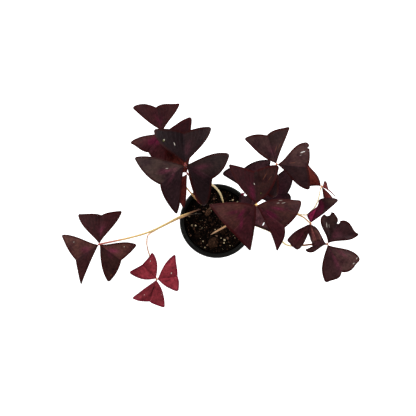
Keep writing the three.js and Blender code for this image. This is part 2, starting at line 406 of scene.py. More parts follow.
def face_outward(body: bmesh.types.BMesh) -> None:
    """Turn the faces of a closed body outward.

    Args:
        body: The body.
    """
    bmesh.ops.recalc_face_normals(body, faces=body.faces)
    if body.calc_volume(signed=True) < 0:
        bmesh.ops.reverse_faces(body, faces=body.faces)


def spun_solid(outline: Sequence[tuple[float, float]], steps: int,
               rounding: float = 0.0) -> bmesh.types.BMesh:
    """Spin an outline round the Z axis into a closed solid.

    Args:
        outline: Pairs of radius and height, from the axis to the axis.
        steps: Steps of the full turn.
        rounding: How far the corners are cut round, apart from the first and last two.

    Returns:
        The solid.
    """
    body = bmesh.new()
    points = [body.verts.new((radius, 0, height)) for radius, height in outline]
    for start, end in zip(points, points[1:]):
        body.edges.new((start, end))
    if rounding:
        bmesh.ops.bevel(body, geom=points[2:-2], offset=rounding, offset_type="OFFSET", segments=2,
                        profile=0.5, affect="VERTICES", material=-1, clamp_overlap=True)
    bmesh.ops.spin(body, geom=body.verts[:] + body.edges[:], cent=(0, 0, 0), axis=(0, 0, 1),
                   angle=FULL_TURN, steps=steps, use_merge=True)
    bmesh.ops.remove_doubles(body, verts=body.verts, dist=0.001)
    face_outward(body)
    return body


def grow_ring(body: bmesh.types.BMesh, edges: Sequence[bmesh.types.BMEdge]) -> tuple[list[Any], list[Any]]:
    """Extrude an open ring of edges.

    Args:
        body: The tube that the ring ends.
        edges: The ring.

    Returns:
        The new ring's vertices and its edges.
    """
    made = bmesh.ops.extrude_edge_only(body, edges=edges)["geom"]
    return tuple([item for item in made if isinstance(item, kind)]
                 for kind in (bmesh.types.BMVert, bmesh.types.BMEdge))


def smooth_step(low: float, high: float, value: float) -> float:
    """A smooth rise from 0 at low to 1 at high."""
    share = min(1.0, max(0.0, (value - low) / (high - low)))
    return share * share * (3 - 2 * share)


# ---------------------------------------------------------------- leaves


@dataclass(frozen=True)
class Lobe:
    """One half of a leaflet, measured in plan from the end of the soft link.

    Attributes:
        reach: Distance to the tip.
        spread: Degrees between the midrib and the tip.
        tip_drop: Drop of the tip under the knob.
        side_third: How far the side edge bulges out at a third of its chord.
        side_two_thirds: The same at two thirds.
        end_third: How far the end edge, from tip to notch, bulges out at a third.
        end_two_thirds: The same at two thirds.
    """

    reach: float
    spread: float
    tip_drop: float
    side_third: float
    side_two_thirds: float
    end_third: float
    end_two_thirds: float


@dataclass(frozen=True)
class Blade:
    """The shape of one leaflet.

    Attributes:
        turn: The way the midrib points, in degrees from +X.
        length: Length of the midrib.
        notch_drop: Drop of the notch under the knob.
        left: The lobe on the left of the midrib, seen from the knob.
        right: The other lobe.
    """

    turn: float
    length: float
    notch_drop: float
    left: Lobe
    right: Lobe


@dataclass(frozen=True)
class Leaf:
    """One leaf: a petiole from the soil to its knob, and three leaflets round the knob.

    Attributes:
        knob: Centre of the knob.
        stem: Radius of the petiole.
        route: Points along the petiole from the soil's surface to just before the knob.
        blades: The three leaflets.
    """

    knob: Point
    stem: float
    route: tuple[Point, ...]
    blades: tuple[Blade, Blade, Blade]


LEAVES = {
    "a": Leaf(
        (-158, -31, 115), 1.2,
        ((-23, 16, 80), (-37, 11, 92), (-50, 6, 101), (-69, -4, 111), (-90, -14, 118),
         (-113, -21, 122), (-135, -26, 121), (-147, -28.5, 119)),
        (Blade(86, 37.3, 3, Lobe(49.5, 42, 9, 2, 3.5, 0.5, 1.5), Lobe(53, 31, 9, 1, 2.5, 1, 1.5)),
         Blade(213, 36.8, 6, Lobe(60.8, 33, 14, -0.5, -0.5, 0, 0), Lobe(53.4, 48, 12, 1.5, 3, 1, 1.5)),
         Blade(324, 34.5, 5, Lobe(48.8, 36.5, 12, 2, 3.5, 1, 1), Lobe(52.3, 44, 14, 3, 3.5, 2.5, 2.5))),
    ),
    "b": Leaf(
        (-82.5, -80, 88), 0.8,
        ((-22, 10, 80), (-36, 9, 90), (-50, 4, 96.5), (-69, -5, 105), (-86, -14, 109), (-93, -19, 107),
         (-95, -28, 101), (-95, -37, 90), (-93, -48, 77), (-90, -63, 71), (-86, -74, 77)),
        (Blade(134, 26, 2, Lobe(39, 35, 7, 4.5, 4, 0, 0), Lobe(36.5, 35.5, 6, 4, 4.5, -1, -0.5)),
         Blade(8, 27, 2, Lobe(41.5, 47.5, 7, 3, 3.5, 0, 0.5), Lobe(33.3, 41, 7, 2.5, 2.5, 1, 1.5)),
         Blade(252, 30.3, 2, Lobe(40.2, 35, 7, 3.5, 3, 0.5, 1), Lobe(42.8, 36, 6, 0.5, 0.5, 1, 1.5))),
    ),
    "c": Leaf(
        (-40, 71.5, 205), 1.5,
        ((10, 18, 80), (9, 25, 92), (7, 31, 103), (4, 38, 114), (-1, 44, 125), (-7, 49, 137),
         (-13, 57, 152), (-22, 63, 170), (-32, 67, 188), (-38, 69, 199)),
        (Blade(93, 38.5, 6, Lobe(59.5, 40, 17, 3.5, 6, 1.5, 2), Lobe(56.3, 39, 15, 2.5, 4, 2, 1.5)),
         Blade(218, 38, 5, Lobe(62, 43, 20, 0.5, 2, 2.5, 3), Lobe(64.3, 48, 15, 2.5, 4, 3.5, 4)),
         Blade(333, 36, 5, Lobe(56, 43, 15, 3.5, 5, 3.5, 4), Lobe(55.6, 41, 20, 2.5, 4, 3.5, 2))),
    ),
    "e": Leaf(
        (-69.5, 115, 170), 1.2,
        ((-21, 23, 80), (-28, 30, 100), (-34, 37, 110), (-40, 44, 118), (-49, 58, 127),
         (-57, 76, 133), (-64, 94, 145), (-68, 107, 160)),
        (Blade(106, 31.2, 3, Lobe(50.2, 37, 9, 2, 1.5, 4, 3.5), Lobe(42.7, 48, 9, 0.5, 1.5, 0.5, 2)),
         Blade(350, 33, 4, Lobe(40.2, 41.5, 9, 0.5, 1.5, 1, 0.5), Lobe(47, 40, 9, 3, 4, 3.5, 3)),
         Blade(234, 30, 3, Lobe(39.5, 41.5, 9, 2, 3, 2.5, 3), Lobe(44.3, 38, 9, 2, 3.5, 0, 1.5))),
    ),
    "f": Leaf(
        (48, 22, 205), 1.3,
        ((-8, -19, 80), (-4, -16, 98), (12, -6, 128), (33, 8, 172), (43, 17, 195)),
        (Blade(230, 43.5, 5, Lobe(58, 35, 19, 1.5, 1, 0, 0), Lobe(58.5, 52, 16, 3.5, 2.5, 0.5, 1)),
         Blade(321, 43.6, 5, Lobe(56.5, 46, 15, 5.2, 3.5, 4, 3.5), Lobe(63.5, 28, 20, -1, -2, 2, 3)),
         Blade(95, 40, 6, Lobe(60.2, 30, 17, 4.5, 4.5, 0.5, 0.5), Lobe(54.8, 37, 8, 6.2, 5.5, 2.5, 1.5))),
    ),
    "g": Leaf(
        (46.5, 30.5, 160), 1.2,
        ((23, 20, 80), (29, 23, 105), (37, 26, 132), (44, 29.5, 150)),
        (Blade(106.5, 39, 4,
               Lobe(50, 37.5, 10, -1.8, -1.2, 4.6, 4.5), Lobe(53.5, 43.5, 10, 1.5, 2.5, 3.5, 3.5)),
         Blade(9, 43.5, 4, Lobe(57, 34, 10, 0.5, 1.5, 6.5, 5.6), Lobe(43, 23, 10, 0, 3.5, 3.5, 4.5)),
         Blade(241, 25.5, 4, Lobe(49, 58, 12, 2.5, 2.5, 1, 3), Lobe(17.5, 94, 8, 1, 2, 3.5, 2.5))),
    ),
    "h": Leaf(
        (74, 72.5, 190), 1.2,
        ((30, 19, 80), (40, 25, 100), (52, 35, 130), (61, 49, 154), (67, 60, 172), (72, 68, 184)),
        (Blade(108, 36.8, 4, Lobe(51, 34, 12, 3.5, 2.5, 2.5, 2.5), Lobe(50.3, 40, 11, -0.5, 0, 1.5, 2.5)),
         Blade(355, 37.5, 4, Lobe(49, 41, 11, 2.5, 5.5, 1.5, 2), Lobe(52.4, 32.5, 16, 2.2, 4.5, 1, 1)),
         Blade(244, 33.5, 6, Lobe(38, 31, 14, 1.5, 2, 4.5, 3.5), Lobe(34.5, 34, 13, 4, 3.5, 5, 5))),
    ),
    "i": Leaf(
        (136.5, 46, 145), 1,
        ((36, 14, 80), (52, 11, 102), (77, 11, 122), (96, 11, 134), (107, 10, 140), (117, 9, 144),
         (124, 15, 145), (128, 20, 146), (131, 27, 147), (133, 34, 148), (135, 43, 147)),
        (Blade(154, 34, 4, Lobe(22, 24, 8, 0, 1, 2, 1), Lobe(39, 36, 9, 3, 0.8, 4.5, 3)),
         Blade(298, 28, 6, Lobe(25, 18, 12, 1, 1, 1.5, 1), Lobe(25, 15, 17, 0.5, 0.5, 1.5, 1)),
         Blade(339, 9, 6, Lobe(10.5, 95, 6, 0.5, 0.5, 1, 0.5), Lobe(24.5, 17, 12, -1, -1, 0.9, 0.9))),
    ),
    "j": Leaf(
        (146, -30, 130), 1.2,
        ((26, 2, 80), (39, -1, 94), (61, -9, 106), (72, -14, 111), (86, -26, 116), (95, -32, 118),
         (115, -32, 121), (124, -31, 120), (135, -31, 119), (142, -30, 124)),
        (Blade(183, 18, 3, Lobe(29.5, 12, 8, 3, 6, -1, -1.5), Lobe(36.5, 49, 9, 4, 6.5, 1, 0)),
         Blade(63, 30.5, 4, Lobe(42.5, 17, 9, 7.5, 14.5, 1, 1.5), Lobe(45, 48, 8, 1.5, 4, 1.5, 6.5)),
         Blade(298, 40.5, 4, Lobe(49.5, 38, 10, 3.5, 6, 2, 4), Lobe(51, 30, 10, 5, 6, 1.5, 3.5))),
    ),
    "k": Leaf(
        (-38.5, 62.5, 158), 1.2,
        ((-15, 30, 80), (-19, 38, 100), (-25, 47, 122), (-32, 56, 142), (-36, 60, 152)),
        (Blade(122, 33.5, 3, Lobe(41.5, 22, 10, 6.5, 4, 4, 3.5), Lobe(34, 42, 10, 0.5, 1, 3, 2.5)),
         Blade(248, 32, 4, Lobe(44.5, 16, 12, 1, 2, 0, 0), Lobe(41.5, 32, 12, 2.5, 2.5, 2, 2)),
         Blade(314, 29.5, 4, Lobe(30.5, 22, 9, 2, 2.5, 3, 1.5), Lobe(42, 24, 11, 1.5, 2, 2.5, 2))),
    ),
    "l": Leaf(
        (119.5, -2, 165), 1.2,
        ((30, 9, 80), (45, 8, 110), (63, 8, 138), (81, 10, 156), (100, 10, 167), (110, 6, 169),
         (116, 1, 168)),
        (Blade(68, 32, 3, Lobe(29.5, 4, 8, 6.5, -1, 0, 0), Lobe(47.5, 31, 12, 1, 1, 2, 2)),
         Blade(235, 35.5, 4, Lobe(36, 13, 8, 2.5, 2.5, 0.5, 0.5), Lobe(36, 18, 12, 3, 3.5, -1, 0)),
         Blade(291, 23, 5, Lobe(24, 20, 13, 2.5, 2.5, 1.5, 1), Lobe(23, 18, 12, 2, 1.5, 1, 0.5))),
    ),
}


@dataclass(frozen=True)
class Glow:
    """The lighter mark round a leaflet's midrib, which opens towards the tips like a V.

    Attributes:
        along: Where on the midrib it is, from 0 at the link to 1 at the notch.
        across: Where its middle is, from -1 at the left edge to 1 at the right one.
        length: How far it fades along the midrib.
        width: How far it fades across the blade.
        strength: How much of it shows.
        lean: How far its arms lean towards the end edge.
    """

    along: float = 0.55
    across: float = 0.0
    length: float = 0.2
    width: float = 0.42
    strength: float = 0.6
    lean: float = 0.3

    def at(self, along: float, across: float) -> float:
        """How much of the mark there is at one place on the blade.

        Args:
            along: 0 at the link and 1 at the end edge.
            across: -1 at the left edge, 0 at the midrib and 1 at the right edge.

        Returns:
            Its strength there.
        """
        rise = (along - self.along - self.lean * abs(across - self.across)) / self.length
        aside = (across - self.across) / self.width
        return self.strength * math.exp(-rise * rise - aside * aside)


def seen_from(mark: "Streak | Spot", x: float, y: float) -> Vector:
    """A place in plan as a mark sees it: from its middle, with its length along X."""
    turn = Matrix.Rotation(-math.radians(mark.turn), 2)
    return turn @ Vector((x - mark.x, y - mark.y))


@dataclass(frozen=True)
class Streak:
    """A soft lighter streak on a blade, placed in plan from the knob.

    Attributes:
        x: Place along X.
        y: Place along Y.
        long: How far it fades along its length.
        short: How far it fades across it.
        turn: The way its length points, in degrees from +X.
        strength: How much of it shows.
    """

    x: float
    y: float
    long: float
    short: float
    turn: float = 0.0
    strength: float = 0.8

    def at(self, x: float, y: float) -> float:
        """How much of the streak there is at a place in plan from the knob."""
        offset = seen_from(self, x, y)
        return self.strength * math.exp(-((offset.x / self.long) ** 2) - (offset.y / self.short) ** 2)


class Blemish(Enum):
    """What a spot on a leaflet is: the number picks its colour. Some spots are painted shade and painted
    glints.
    """

    CRIMSON = 0.0
    RUST = 0.2
    # Painted shade in folds, creases and wrinkles.
    PAINTED_SHADE = 0.4
    LICHEN = 0.6
    # Pale scars and tears, together with painted glints and highlights.
    SCAR_AND_GLINT = 0.95


@dataclass(frozen=True)
class Spot:
    """A mark placed in plan from the knob; blemishes, painted shade and painted glints are all spots.

    Attributes:
        x: Place along X.
        y: Place along Y.
        radius: How far it reaches.
        kind: What it is.
        stretch: How much longer than wide it is.
        turn: The way its length points, in degrees from +X.
        strength: How much of it shows.
    """

    x: float
    y: float
    radius: float
    kind: Blemish
    stretch: float = 1.0
    turn: float = 0.0
    strength: float = 1.0

    FADE = (0.55, 1.15)

    def distance(self, x: float, y: float) -> float:
        """Distance of a place in plan from the spot's middle, where 1 is its edge."""
        offset = seen_from(self, x, y)
        return math.hypot(offset.x / self.stretch, offset.y) / self.radius

    def at(self, x: float, y: float) -> float:
        """How much of the spot there is at a place in plan from the knob."""
        return self.strength * (1 - smooth_step(*self.FADE, self.distance(x, y)))


NO_GLOW = Glow(strength=0.0)


@dataclass(frozen=True)
class Hole:
    """An oval hole or a bite out of the margin, placed in plan from the knob.

    Attributes:
        x: Place along X.
        y: Place along Y.
        long: Half its length.
        short: Half its width.
        turn: The way its length points, in degrees from +X.
        sides: Sides of its outline; few of them make it jagged.
        depth: Height of the prism that cuts it.
    """

    x: float
    y: float
    long: float
    short: float
    turn: float = 0.0
    sides: int = 14
    depth: float = 60.0

    def add_to(self, cutter: bmesh.types.BMesh) -> None:
        """Add the hole to a cutting body as an upright oval prism.

        Args:
            cutter: The cutting body.
        """
        lay = Matrix.Translation((self.x, self.y, 0)) @ Matrix.Rotation(math.radians(self.turn), 4, "Z")
        shape = lay @ Matrix.Diagonal((self.long, self.short, 1, 1))
        bmesh.ops.create_cone(cutter, cap_ends=True, segments=self.sides, radius1=1, radius2=1,
                              depth=self.depth, matrix=shape)


@dataclass(frozen=True)
class Character:
    """What sets one leaflet apart from its neighbours.

    Attributes:
        glow: Its lighter mark.
        streaks: More of the glow's colour, where it lies in streaks.
        flush: How brown its left and right lobes are, partly their own colour and partly painted sheen on the
            lobe that faces the light.
        tone: How bright its left and right lobes are, partly their own tone and partly painted light and
            shade for how light falls on each lobe.
        spots: Its blemishes, with painted shade and painted glints among them.
        holes: Its holes and torn places.
        crumple: How far its surface waves.
        under_shows: Where its pink underside is turned up, as a test of along and across.
    """

    glow: Glow = Glow()
    flush: tuple[float, float] = (0.3, 0.3)
    tone: tuple[float, float] = (1.0, 1.0)
    spots: tuple[Spot, ...] = ()
    holes: tuple[Hole, ...] = ()
    crumple: float = 0.6
    under_shows: Callable[[float, float], float] | None = None
    streaks: tuple[Streak, ...] = ()


CHARACTERS = {
    "a1": Character(Glow(0.42, 0.08, 0.16, 0.24, 1.0, 0.2), (0.1, 0.0), (0.85, 0.94)),
    "a2": Character(Glow(0.42, 0.1, 0.14, 0.25, 0.6, 0.2), (0.2, 1.0), (0.8, 1.05), (
        Spot(-34.7, 3.0, 0.7, Blemish.SCAR_AND_GLINT, 1.6, 20, 0.35),),
        streaks=(Streak(-19.0, -6.0, 6.0, 3.0, 200, 0.8),)),
    "a3": Character(Glow(0.4, -0.1, 0.12, 0.3, 0.5, 0.1), (0.9, 0.7), (1.37, 0.62), (
        Spot(33.3, -3.3, 0.7, Blemish.SCAR_AND_GLINT, 1.0, 0, 0.8), Spot(15.0, -42.0, 0.7, Blemish.RUST, 2.4, 60, 0.5)),
        streaks=(Streak(18.5, -8.5, 7.5, 3.2, -8, 1.0), Streak(14.0, -14.0, 6.0, 3.0, -50, 0.7))),
    "b1": Character(NO_GLOW, (0.3, 0.3), (1.41, 1.18), (
        Spot(-8.7, 24.7, 0.6, Blemish.SCAR_AND_GLINT, 1.4, 70, 0.8),
        Spot(-10.0, 9.0, 0.5, Blemish.PAINTED_SHADE, 12.0, 132, 0.6)),
        crumple=1.6),
    "b2": Character(NO_GLOW, (0.3, 0.3), (1.2, 1.3), (
        Spot(20.2, 8.2, 0.6, Blemish.SCAR_AND_GLINT, 2.0, 80),
        Spot(15.0, -2.0, 0.7, Blemish.PAINTED_SHADE, 7.0, 20, 0.6)), crumple=1.6),
    "b3": Character(NO_GLOW, (0.4, 0.4), (0.79, 0.74), (
        Spot(-17.0, -21.5, 0.5, Blemish.SCAR_AND_GLINT, 1.4, 30, 0.6), Spot(6.5, -21.5, 0.5, Blemish.SCAR_AND_GLINT, 1.0, 0, 0.6),
        Spot(-6.0, -16.0, 0.7, Blemish.PAINTED_SHADE, 9.0, 64, 0.6),
        Spot(-3.0, -12.0, 0.6, Blemish.PAINTED_SHADE, 7.0, 40, 0.5)),
        crumple=1.6),
    "c1": Character(Glow(0.35, 0.12, 0.14, 0.2, 0.5), (0.0, 0.3), (0.41, 0.54), (
        Spot(-26.5, 31.1, 0.8, Blemish.SCAR_AND_GLINT, 1.2, 80, 0.8),
        Spot(-27.0, 30.5, 1.5, Blemish.LICHEN, 1.2, 60, 0.7),
        Spot(-13.5, 25.7, 0.45, Blemish.SCAR_AND_GLINT, 5.0, 110, 0.8)),
        streaks=(Streak(3.0, 20.0, 9.0, 4.0, 75, 0.5),)),
    "c2": Character(NO_GLOW, (0.1, 1.0), (0.84, 1.0), (
        Spot(-22.8, -4.7, 0.4, Blemish.SCAR_AND_GLINT, 5.0, 8, 0.5),), streaks=(
        Streak(-24.0, -8.0, 8.0, 2.4, 12, 1.0), Streak(-17.0, -15.5, 9.0, 2.2, 58, 0.8),
        Streak(-14.0, -6.0, 5.0, 3.0, 20, 0.5))),
    "c3": Character(NO_GLOW, (0.6, 0.1), (0.5, 0.46), streaks=(
        Streak(20.0, -3.0, 10.0, 3.0, 12, 1.0), Streak(17.0, -10.0, 10.0, 3.0, -30, 0.8))),
    "e1": Character(Glow(0.35, 0.0, 0.2, 0.25, 0.7), (0.3, 0.4), (0.65, 0.58)),
    "e2": Character(Glow(0.4, 0.0, 0.25, 0.3, 0.3), (0.1, 0.1), (0.49, 0.49)),
    "e3": Character(Glow(0.5, 0.3, 0.3, 0.4, 0.6, 0.1), (0.3, 1.0), (0.85, 0.77), streaks=(
        Streak(-11.5, -12.0, 8.0, 4.5, 15, 1.8),)),
    "f1": Character(NO_GLOW, (0.1, 1.0), (0.86, 0.82), (
        Spot(-4.0, -24.0, 1.9, Blemish.PAINTED_SHADE, 8.0, 88, 0.6),
        Spot(-12.0, -12.0, 0.7, Blemish.PAINTED_SHADE, 11.0, 42, 0.45)),
        streaks=(Streak(-19.0, -12.0, 7.0, 2.0, 55, 1.3), Streak(-18.5, -21.0, 9.0, 2.2, 82, 1.0),
                 Streak(-28.0, -9.5, 8.0, 2.0, 14, 0.7))),
    "f2": Character(NO_GLOW, (1.0, 0.1), (0.67, 0.88), (
        Spot(33.8, 2.2, 0.35, Blemish.SCAR_AND_GLINT, 8.0, 12, 0.4), Spot(27.0, 2.0, 0.35, Blemish.SCAR_AND_GLINT, 6.0, 8, 0.4),
        Spot(30.0, 5.2, 0.35, Blemish.SCAR_AND_GLINT, 8.0, 4, 0.3), Spot(11.0, -9.5, 1.2, Blemish.PAINTED_SHADE, 8.0, -52, 0.6)),
        streaks=(Streak(18.0, -12.0, 8.0, 2.8, -30, 1.9), Streak(27.0, -5.0, 9.0, 2.2, -8, 1.0))),
    "f3": Character(Glow(0.3, -0.2, 0.2, 0.25, 0.6), (0.1, 1.0), (0.54, 0.39), (
        Spot(-2.5, 25.6, 0.45, Blemish.SCAR_AND_GLINT, 3.0, 110, 0.7),
        Spot(10.5, 35.0, 0.6, Blemish.RUST, 10.0, 60, 0.3),
        Spot(17.0, 33.0, 0.5, Blemish.RUST, 10.0, 52, 0.25),
        Spot(5.5, 14.0, 0.6, Blemish.LICHEN, 2.0, 60, 0.5)),
        streaks=(Streak(-5.0, 15.0, 10.0, 3.4, 100, 1.0),), crumple=1.0),
    "g1": Character(tone=(1.9, 1.3)),
    "g2": Character(tone=(0.85, 0.75)),
    "g3": Character(flush=(0.9, 0.3), tone=(2.3, 1.7), spots=(Spot(-13.4, 6.3, 2.8, Blemish.CRIMSON),),
        holes=(Hole(-10.0, 4.5, 2.0, 1.7), Hole(13.5, -33.4, 2.6, 0.7, 60, 6))),
    "h1": Character(Glow(0.35, 0.1, 0.16, 0.3, 0.6), (0.7, 0.8), (0.75, 0.54), (
        Spot(-1.0, 19.0, 0.4, Blemish.RUST, 14.0, 72, 0.4),
        Spot(4.0, 24.0, 0.4, Blemish.RUST, 14.0, 60, 0.35)),
        streaks=(Streak(-4.0, 17.0, 8.0, 2.6, 112, 0.7),)),
    "h2": Character(NO_GLOW, (0.8, 0.3), (1.0, 0.66), (
        Spot(33.0, 15.0, 0.25, Blemish.SCAR_AND_GLINT, 14.0, 20, 0.5),
        Spot(30.5, 11.6, 0.3, Blemish.SCAR_AND_GLINT, 6.0, 24, 0.35),
        Spot(20.0, 2.0, 0.5, Blemish.RUST, 9.0, 6, 0.4)), (
        Hole(33.6, 15.9, 3.4, 0.2, 18, 8), Hole(43.0, 22.0, 3.4, 1.5, 14, 5))),
    "h3": Character(tone=(0.34, 0.34)),
    "i1": Character(Glow(strength=0.2), (0.9, 0.9), (0.69, 0.69)),
    "i2": Character(tone=(1.15, 1.15)),
    "i3": Character(Glow(0.5, 0.6, 0.8, 0.6, 1.0), (0.2, 0.2), (1.2, 1.2)),
    "j1": Character(Glow(strength=0.2), (0.8, 0.2), (1.13, 1.25), (
        Spot(-21.0, 17.2, 0.5, Blemish.SCAR_AND_GLINT, 6.0, 75, 0.7),),
        (Hole(-22.5, 3.5, 7.5, 1.7, 108),), crumple=1.6),
    "j2": Character(Glow(0.4, 0.3, 0.2, 0.3, 0.6), (0.9, 0.3), (0.66, 0.8), (
        Spot(-0.4, 25.2, 0.5, Blemish.SCAR_AND_GLINT, 8.0, 95, 0.6),
        Spot(2.8, 24.0, 0.4, Blemish.SCAR_AND_GLINT, 7.0, 95, 0.35)), (
        Hole(15.6, 28.6, 2.4, 1.4, 40, 6), Hole(1.2, 41.6, 4.6, 4.4, 10, 9)), crumple=2.0),
    "j3": Character(Glow(0.5, 0.04, 0.4, 0.1, 1.0, 0.0), (0.8, 0.3), (1.3, 1.14), (
        Spot(40.3, -19.2, 0.5, Blemish.SCAR_AND_GLINT, 3.4, 60, 0.8),
        Spot(35.9, -26.0, 0.5, Blemish.SCAR_AND_GLINT, 3.4, 30, 0.8),
        Spot(37.8, -28.2, 0.9, Blemish.PAINTED_SHADE, 2.4, 60)), crumple=1.4,
        streaks=(Streak(20.0, -13.0, 8.0, 2.4, -35, 0.5), Streak(11.0, -26.0, 9.0, 2.0, -72, 0.4))),
    "k1": Character(NO_GLOW, (0.9, 0.9), (0.5, 0.5)),
    "k2": Character(NO_GLOW, (0.9, 0.9), (0.66, 0.66)),
    "l1": Character(
        flush=(0.3, 1.0), tone=(1.5, 0.44), crumple=1.0,
        under_shows=lambda along, across: smooth_step(
            -0.04, 0.04, 1.23 - 0.75 * along - (across + 1) / 2)),
    "l2": Character(
        Glow(strength=0.3), (0.6, 0.3), (1.05, 1.35),
        under_shows=lambda along, across: smooth_step(0.8, 0.92, across)),
    "l3": Character(Glow(strength=0.1), (1.0, 0.75), (1.5, 3.9)),
}


def bulged_edge(start: Vector, end: Vector, third: float, two_thirds: float,
                outward: int) -> Callable[[float], Vector]:
    """A curve over the chord between two points in plan.

    Args:
        start: The chord's start.
        end: Its end.
        third: How far the curve stands off the chord at a third of it.
        two_thirds: The same at two thirds.
        outward: +1 where it stands off to the left, -1 to the right.

    Returns:
        A function from a share of the chord to a point in plan.
    """
    chord = end - start
    sideways = Vector((-chord.y, chord.x)).normalized() * outward
    scale = 27 / 2

    def at(share: float) -> Vector:
        """The point at a share of the chord."""
        rise = (share - 2 * THIRD) * third - (share - THIRD) * two_thirds
        return start + chord * share + sideways * (scale * share * (share - 1) * rise)

    return at


def bezier(start: Vector, corner: Vector, end: Vector, share: float) -> Vector:
    """A point on the curve that cuts a corner."""
    return start * (1 - share) ** 2 + corner * (2 * share * (1 - share)) + end * share ** 2


class LobeSurface:
    """The middle surface of one lobe in plan and height, as a function of along and inward."""

    LINK_LENGTH = 2.1
    LINK_HALF_WIDTH = 0.7
    TIP_ROUNDING = 4.0
    DROOP_POWER = 1.6
    FOLD_POWER = 1.3
    NOTCH_REACH_POWER = 2

    def __init__(self, blade: Blade, side: int) -> None:
        """Find the lobe's corners and edges.

        Args:
            blade: The leaflet's shape.
            side: +1 for the left lobe, -1 for the right one.
        """
        self.lobe = blade.left if side > 0 else blade.right
        self.blade = blade
        self.link = self._polar(self.LINK_LENGTH, 0, side)
        foot = self.link + self._polar(self.LINK_HALF_WIDTH, 90, side)
        self.tip = self.link + self._polar(self.lobe.reach, self.lobe.spread, side)
        self.notch = self.link + self._polar(blade.length, 0, side)
        self.side_edge = bulged_edge(foot, self.tip, self.lobe.side_third, self.lobe.side_two_thirds, side)
        self.end_edge = bulged_edge(self.tip, self.notch, self.lobe.end_third, self.lobe.end_two_thirds, side)
        self.side_cut = self.TIP_ROUNDING / (self.tip - foot).length
        self.end_cut = self.TIP_ROUNDING / (self.tip - self.notch).length
        self.round_tip = self._corner(0.5)

    def _polar(self, distance: float, degrees: float, side: int) -> Vector:
        """A plan vector at an angle from the midrib."""
        angle = math.radians(self.blade.turn + side * degrees)
        return Vector((distance * math.cos(angle), distance * math.sin(angle)))

    def _corner(self, share: float) -> Vector:
        """A point on the rounded tip."""
        return bezier(self.side_edge(1 - self.side_cut), self.tip, self.end_edge(self.end_cut), share)

    def _along_side(self, along: float) -> Vector:
        """A point on the side edge, the rounded tip's first half included."""
        turned = (along - 1 + self.side_cut) / (2 * self.side_cut)
        return self.side_edge(along) if turned < 0 else self._corner(turned)

    def _along_end(self, inward: float) -> Vector:
        """A point on the end edge, the rounded tip's second half included."""
        turned = 0.5 + inward / (2 * self.end_cut)
        return self.end_edge(inward) if turned > 1 else self._corner(turned)

    def at(self, along: float, inward: float) -> Vector:
        """A point of the surface from the knob.

        Args:
            along: 0 at the link and 1 at the end edge.
            inward: 0 at the side edge and 1 at the midrib.

        Returns:
            The point, with its drop under the knob as a negative height.
        """
        side = self._along_side(along) * (1 - inward)
        plan = side + self.link.lerp(self.notch, along) * inward
        bow = self._along_end(inward) - self.round_tip.lerp(self.notch, inward)
        plan += bow * along ** self.NOTCH_REACH_POWER
        fold = (1 - inward) ** self.FOLD_POWER
        drop = self.blade.notch_drop + (self.lobe.tip_drop - self.blade.notch_drop) * fold
        return Vector((plan.x, plan.y, -drop * along ** self.DROOP_POWER))


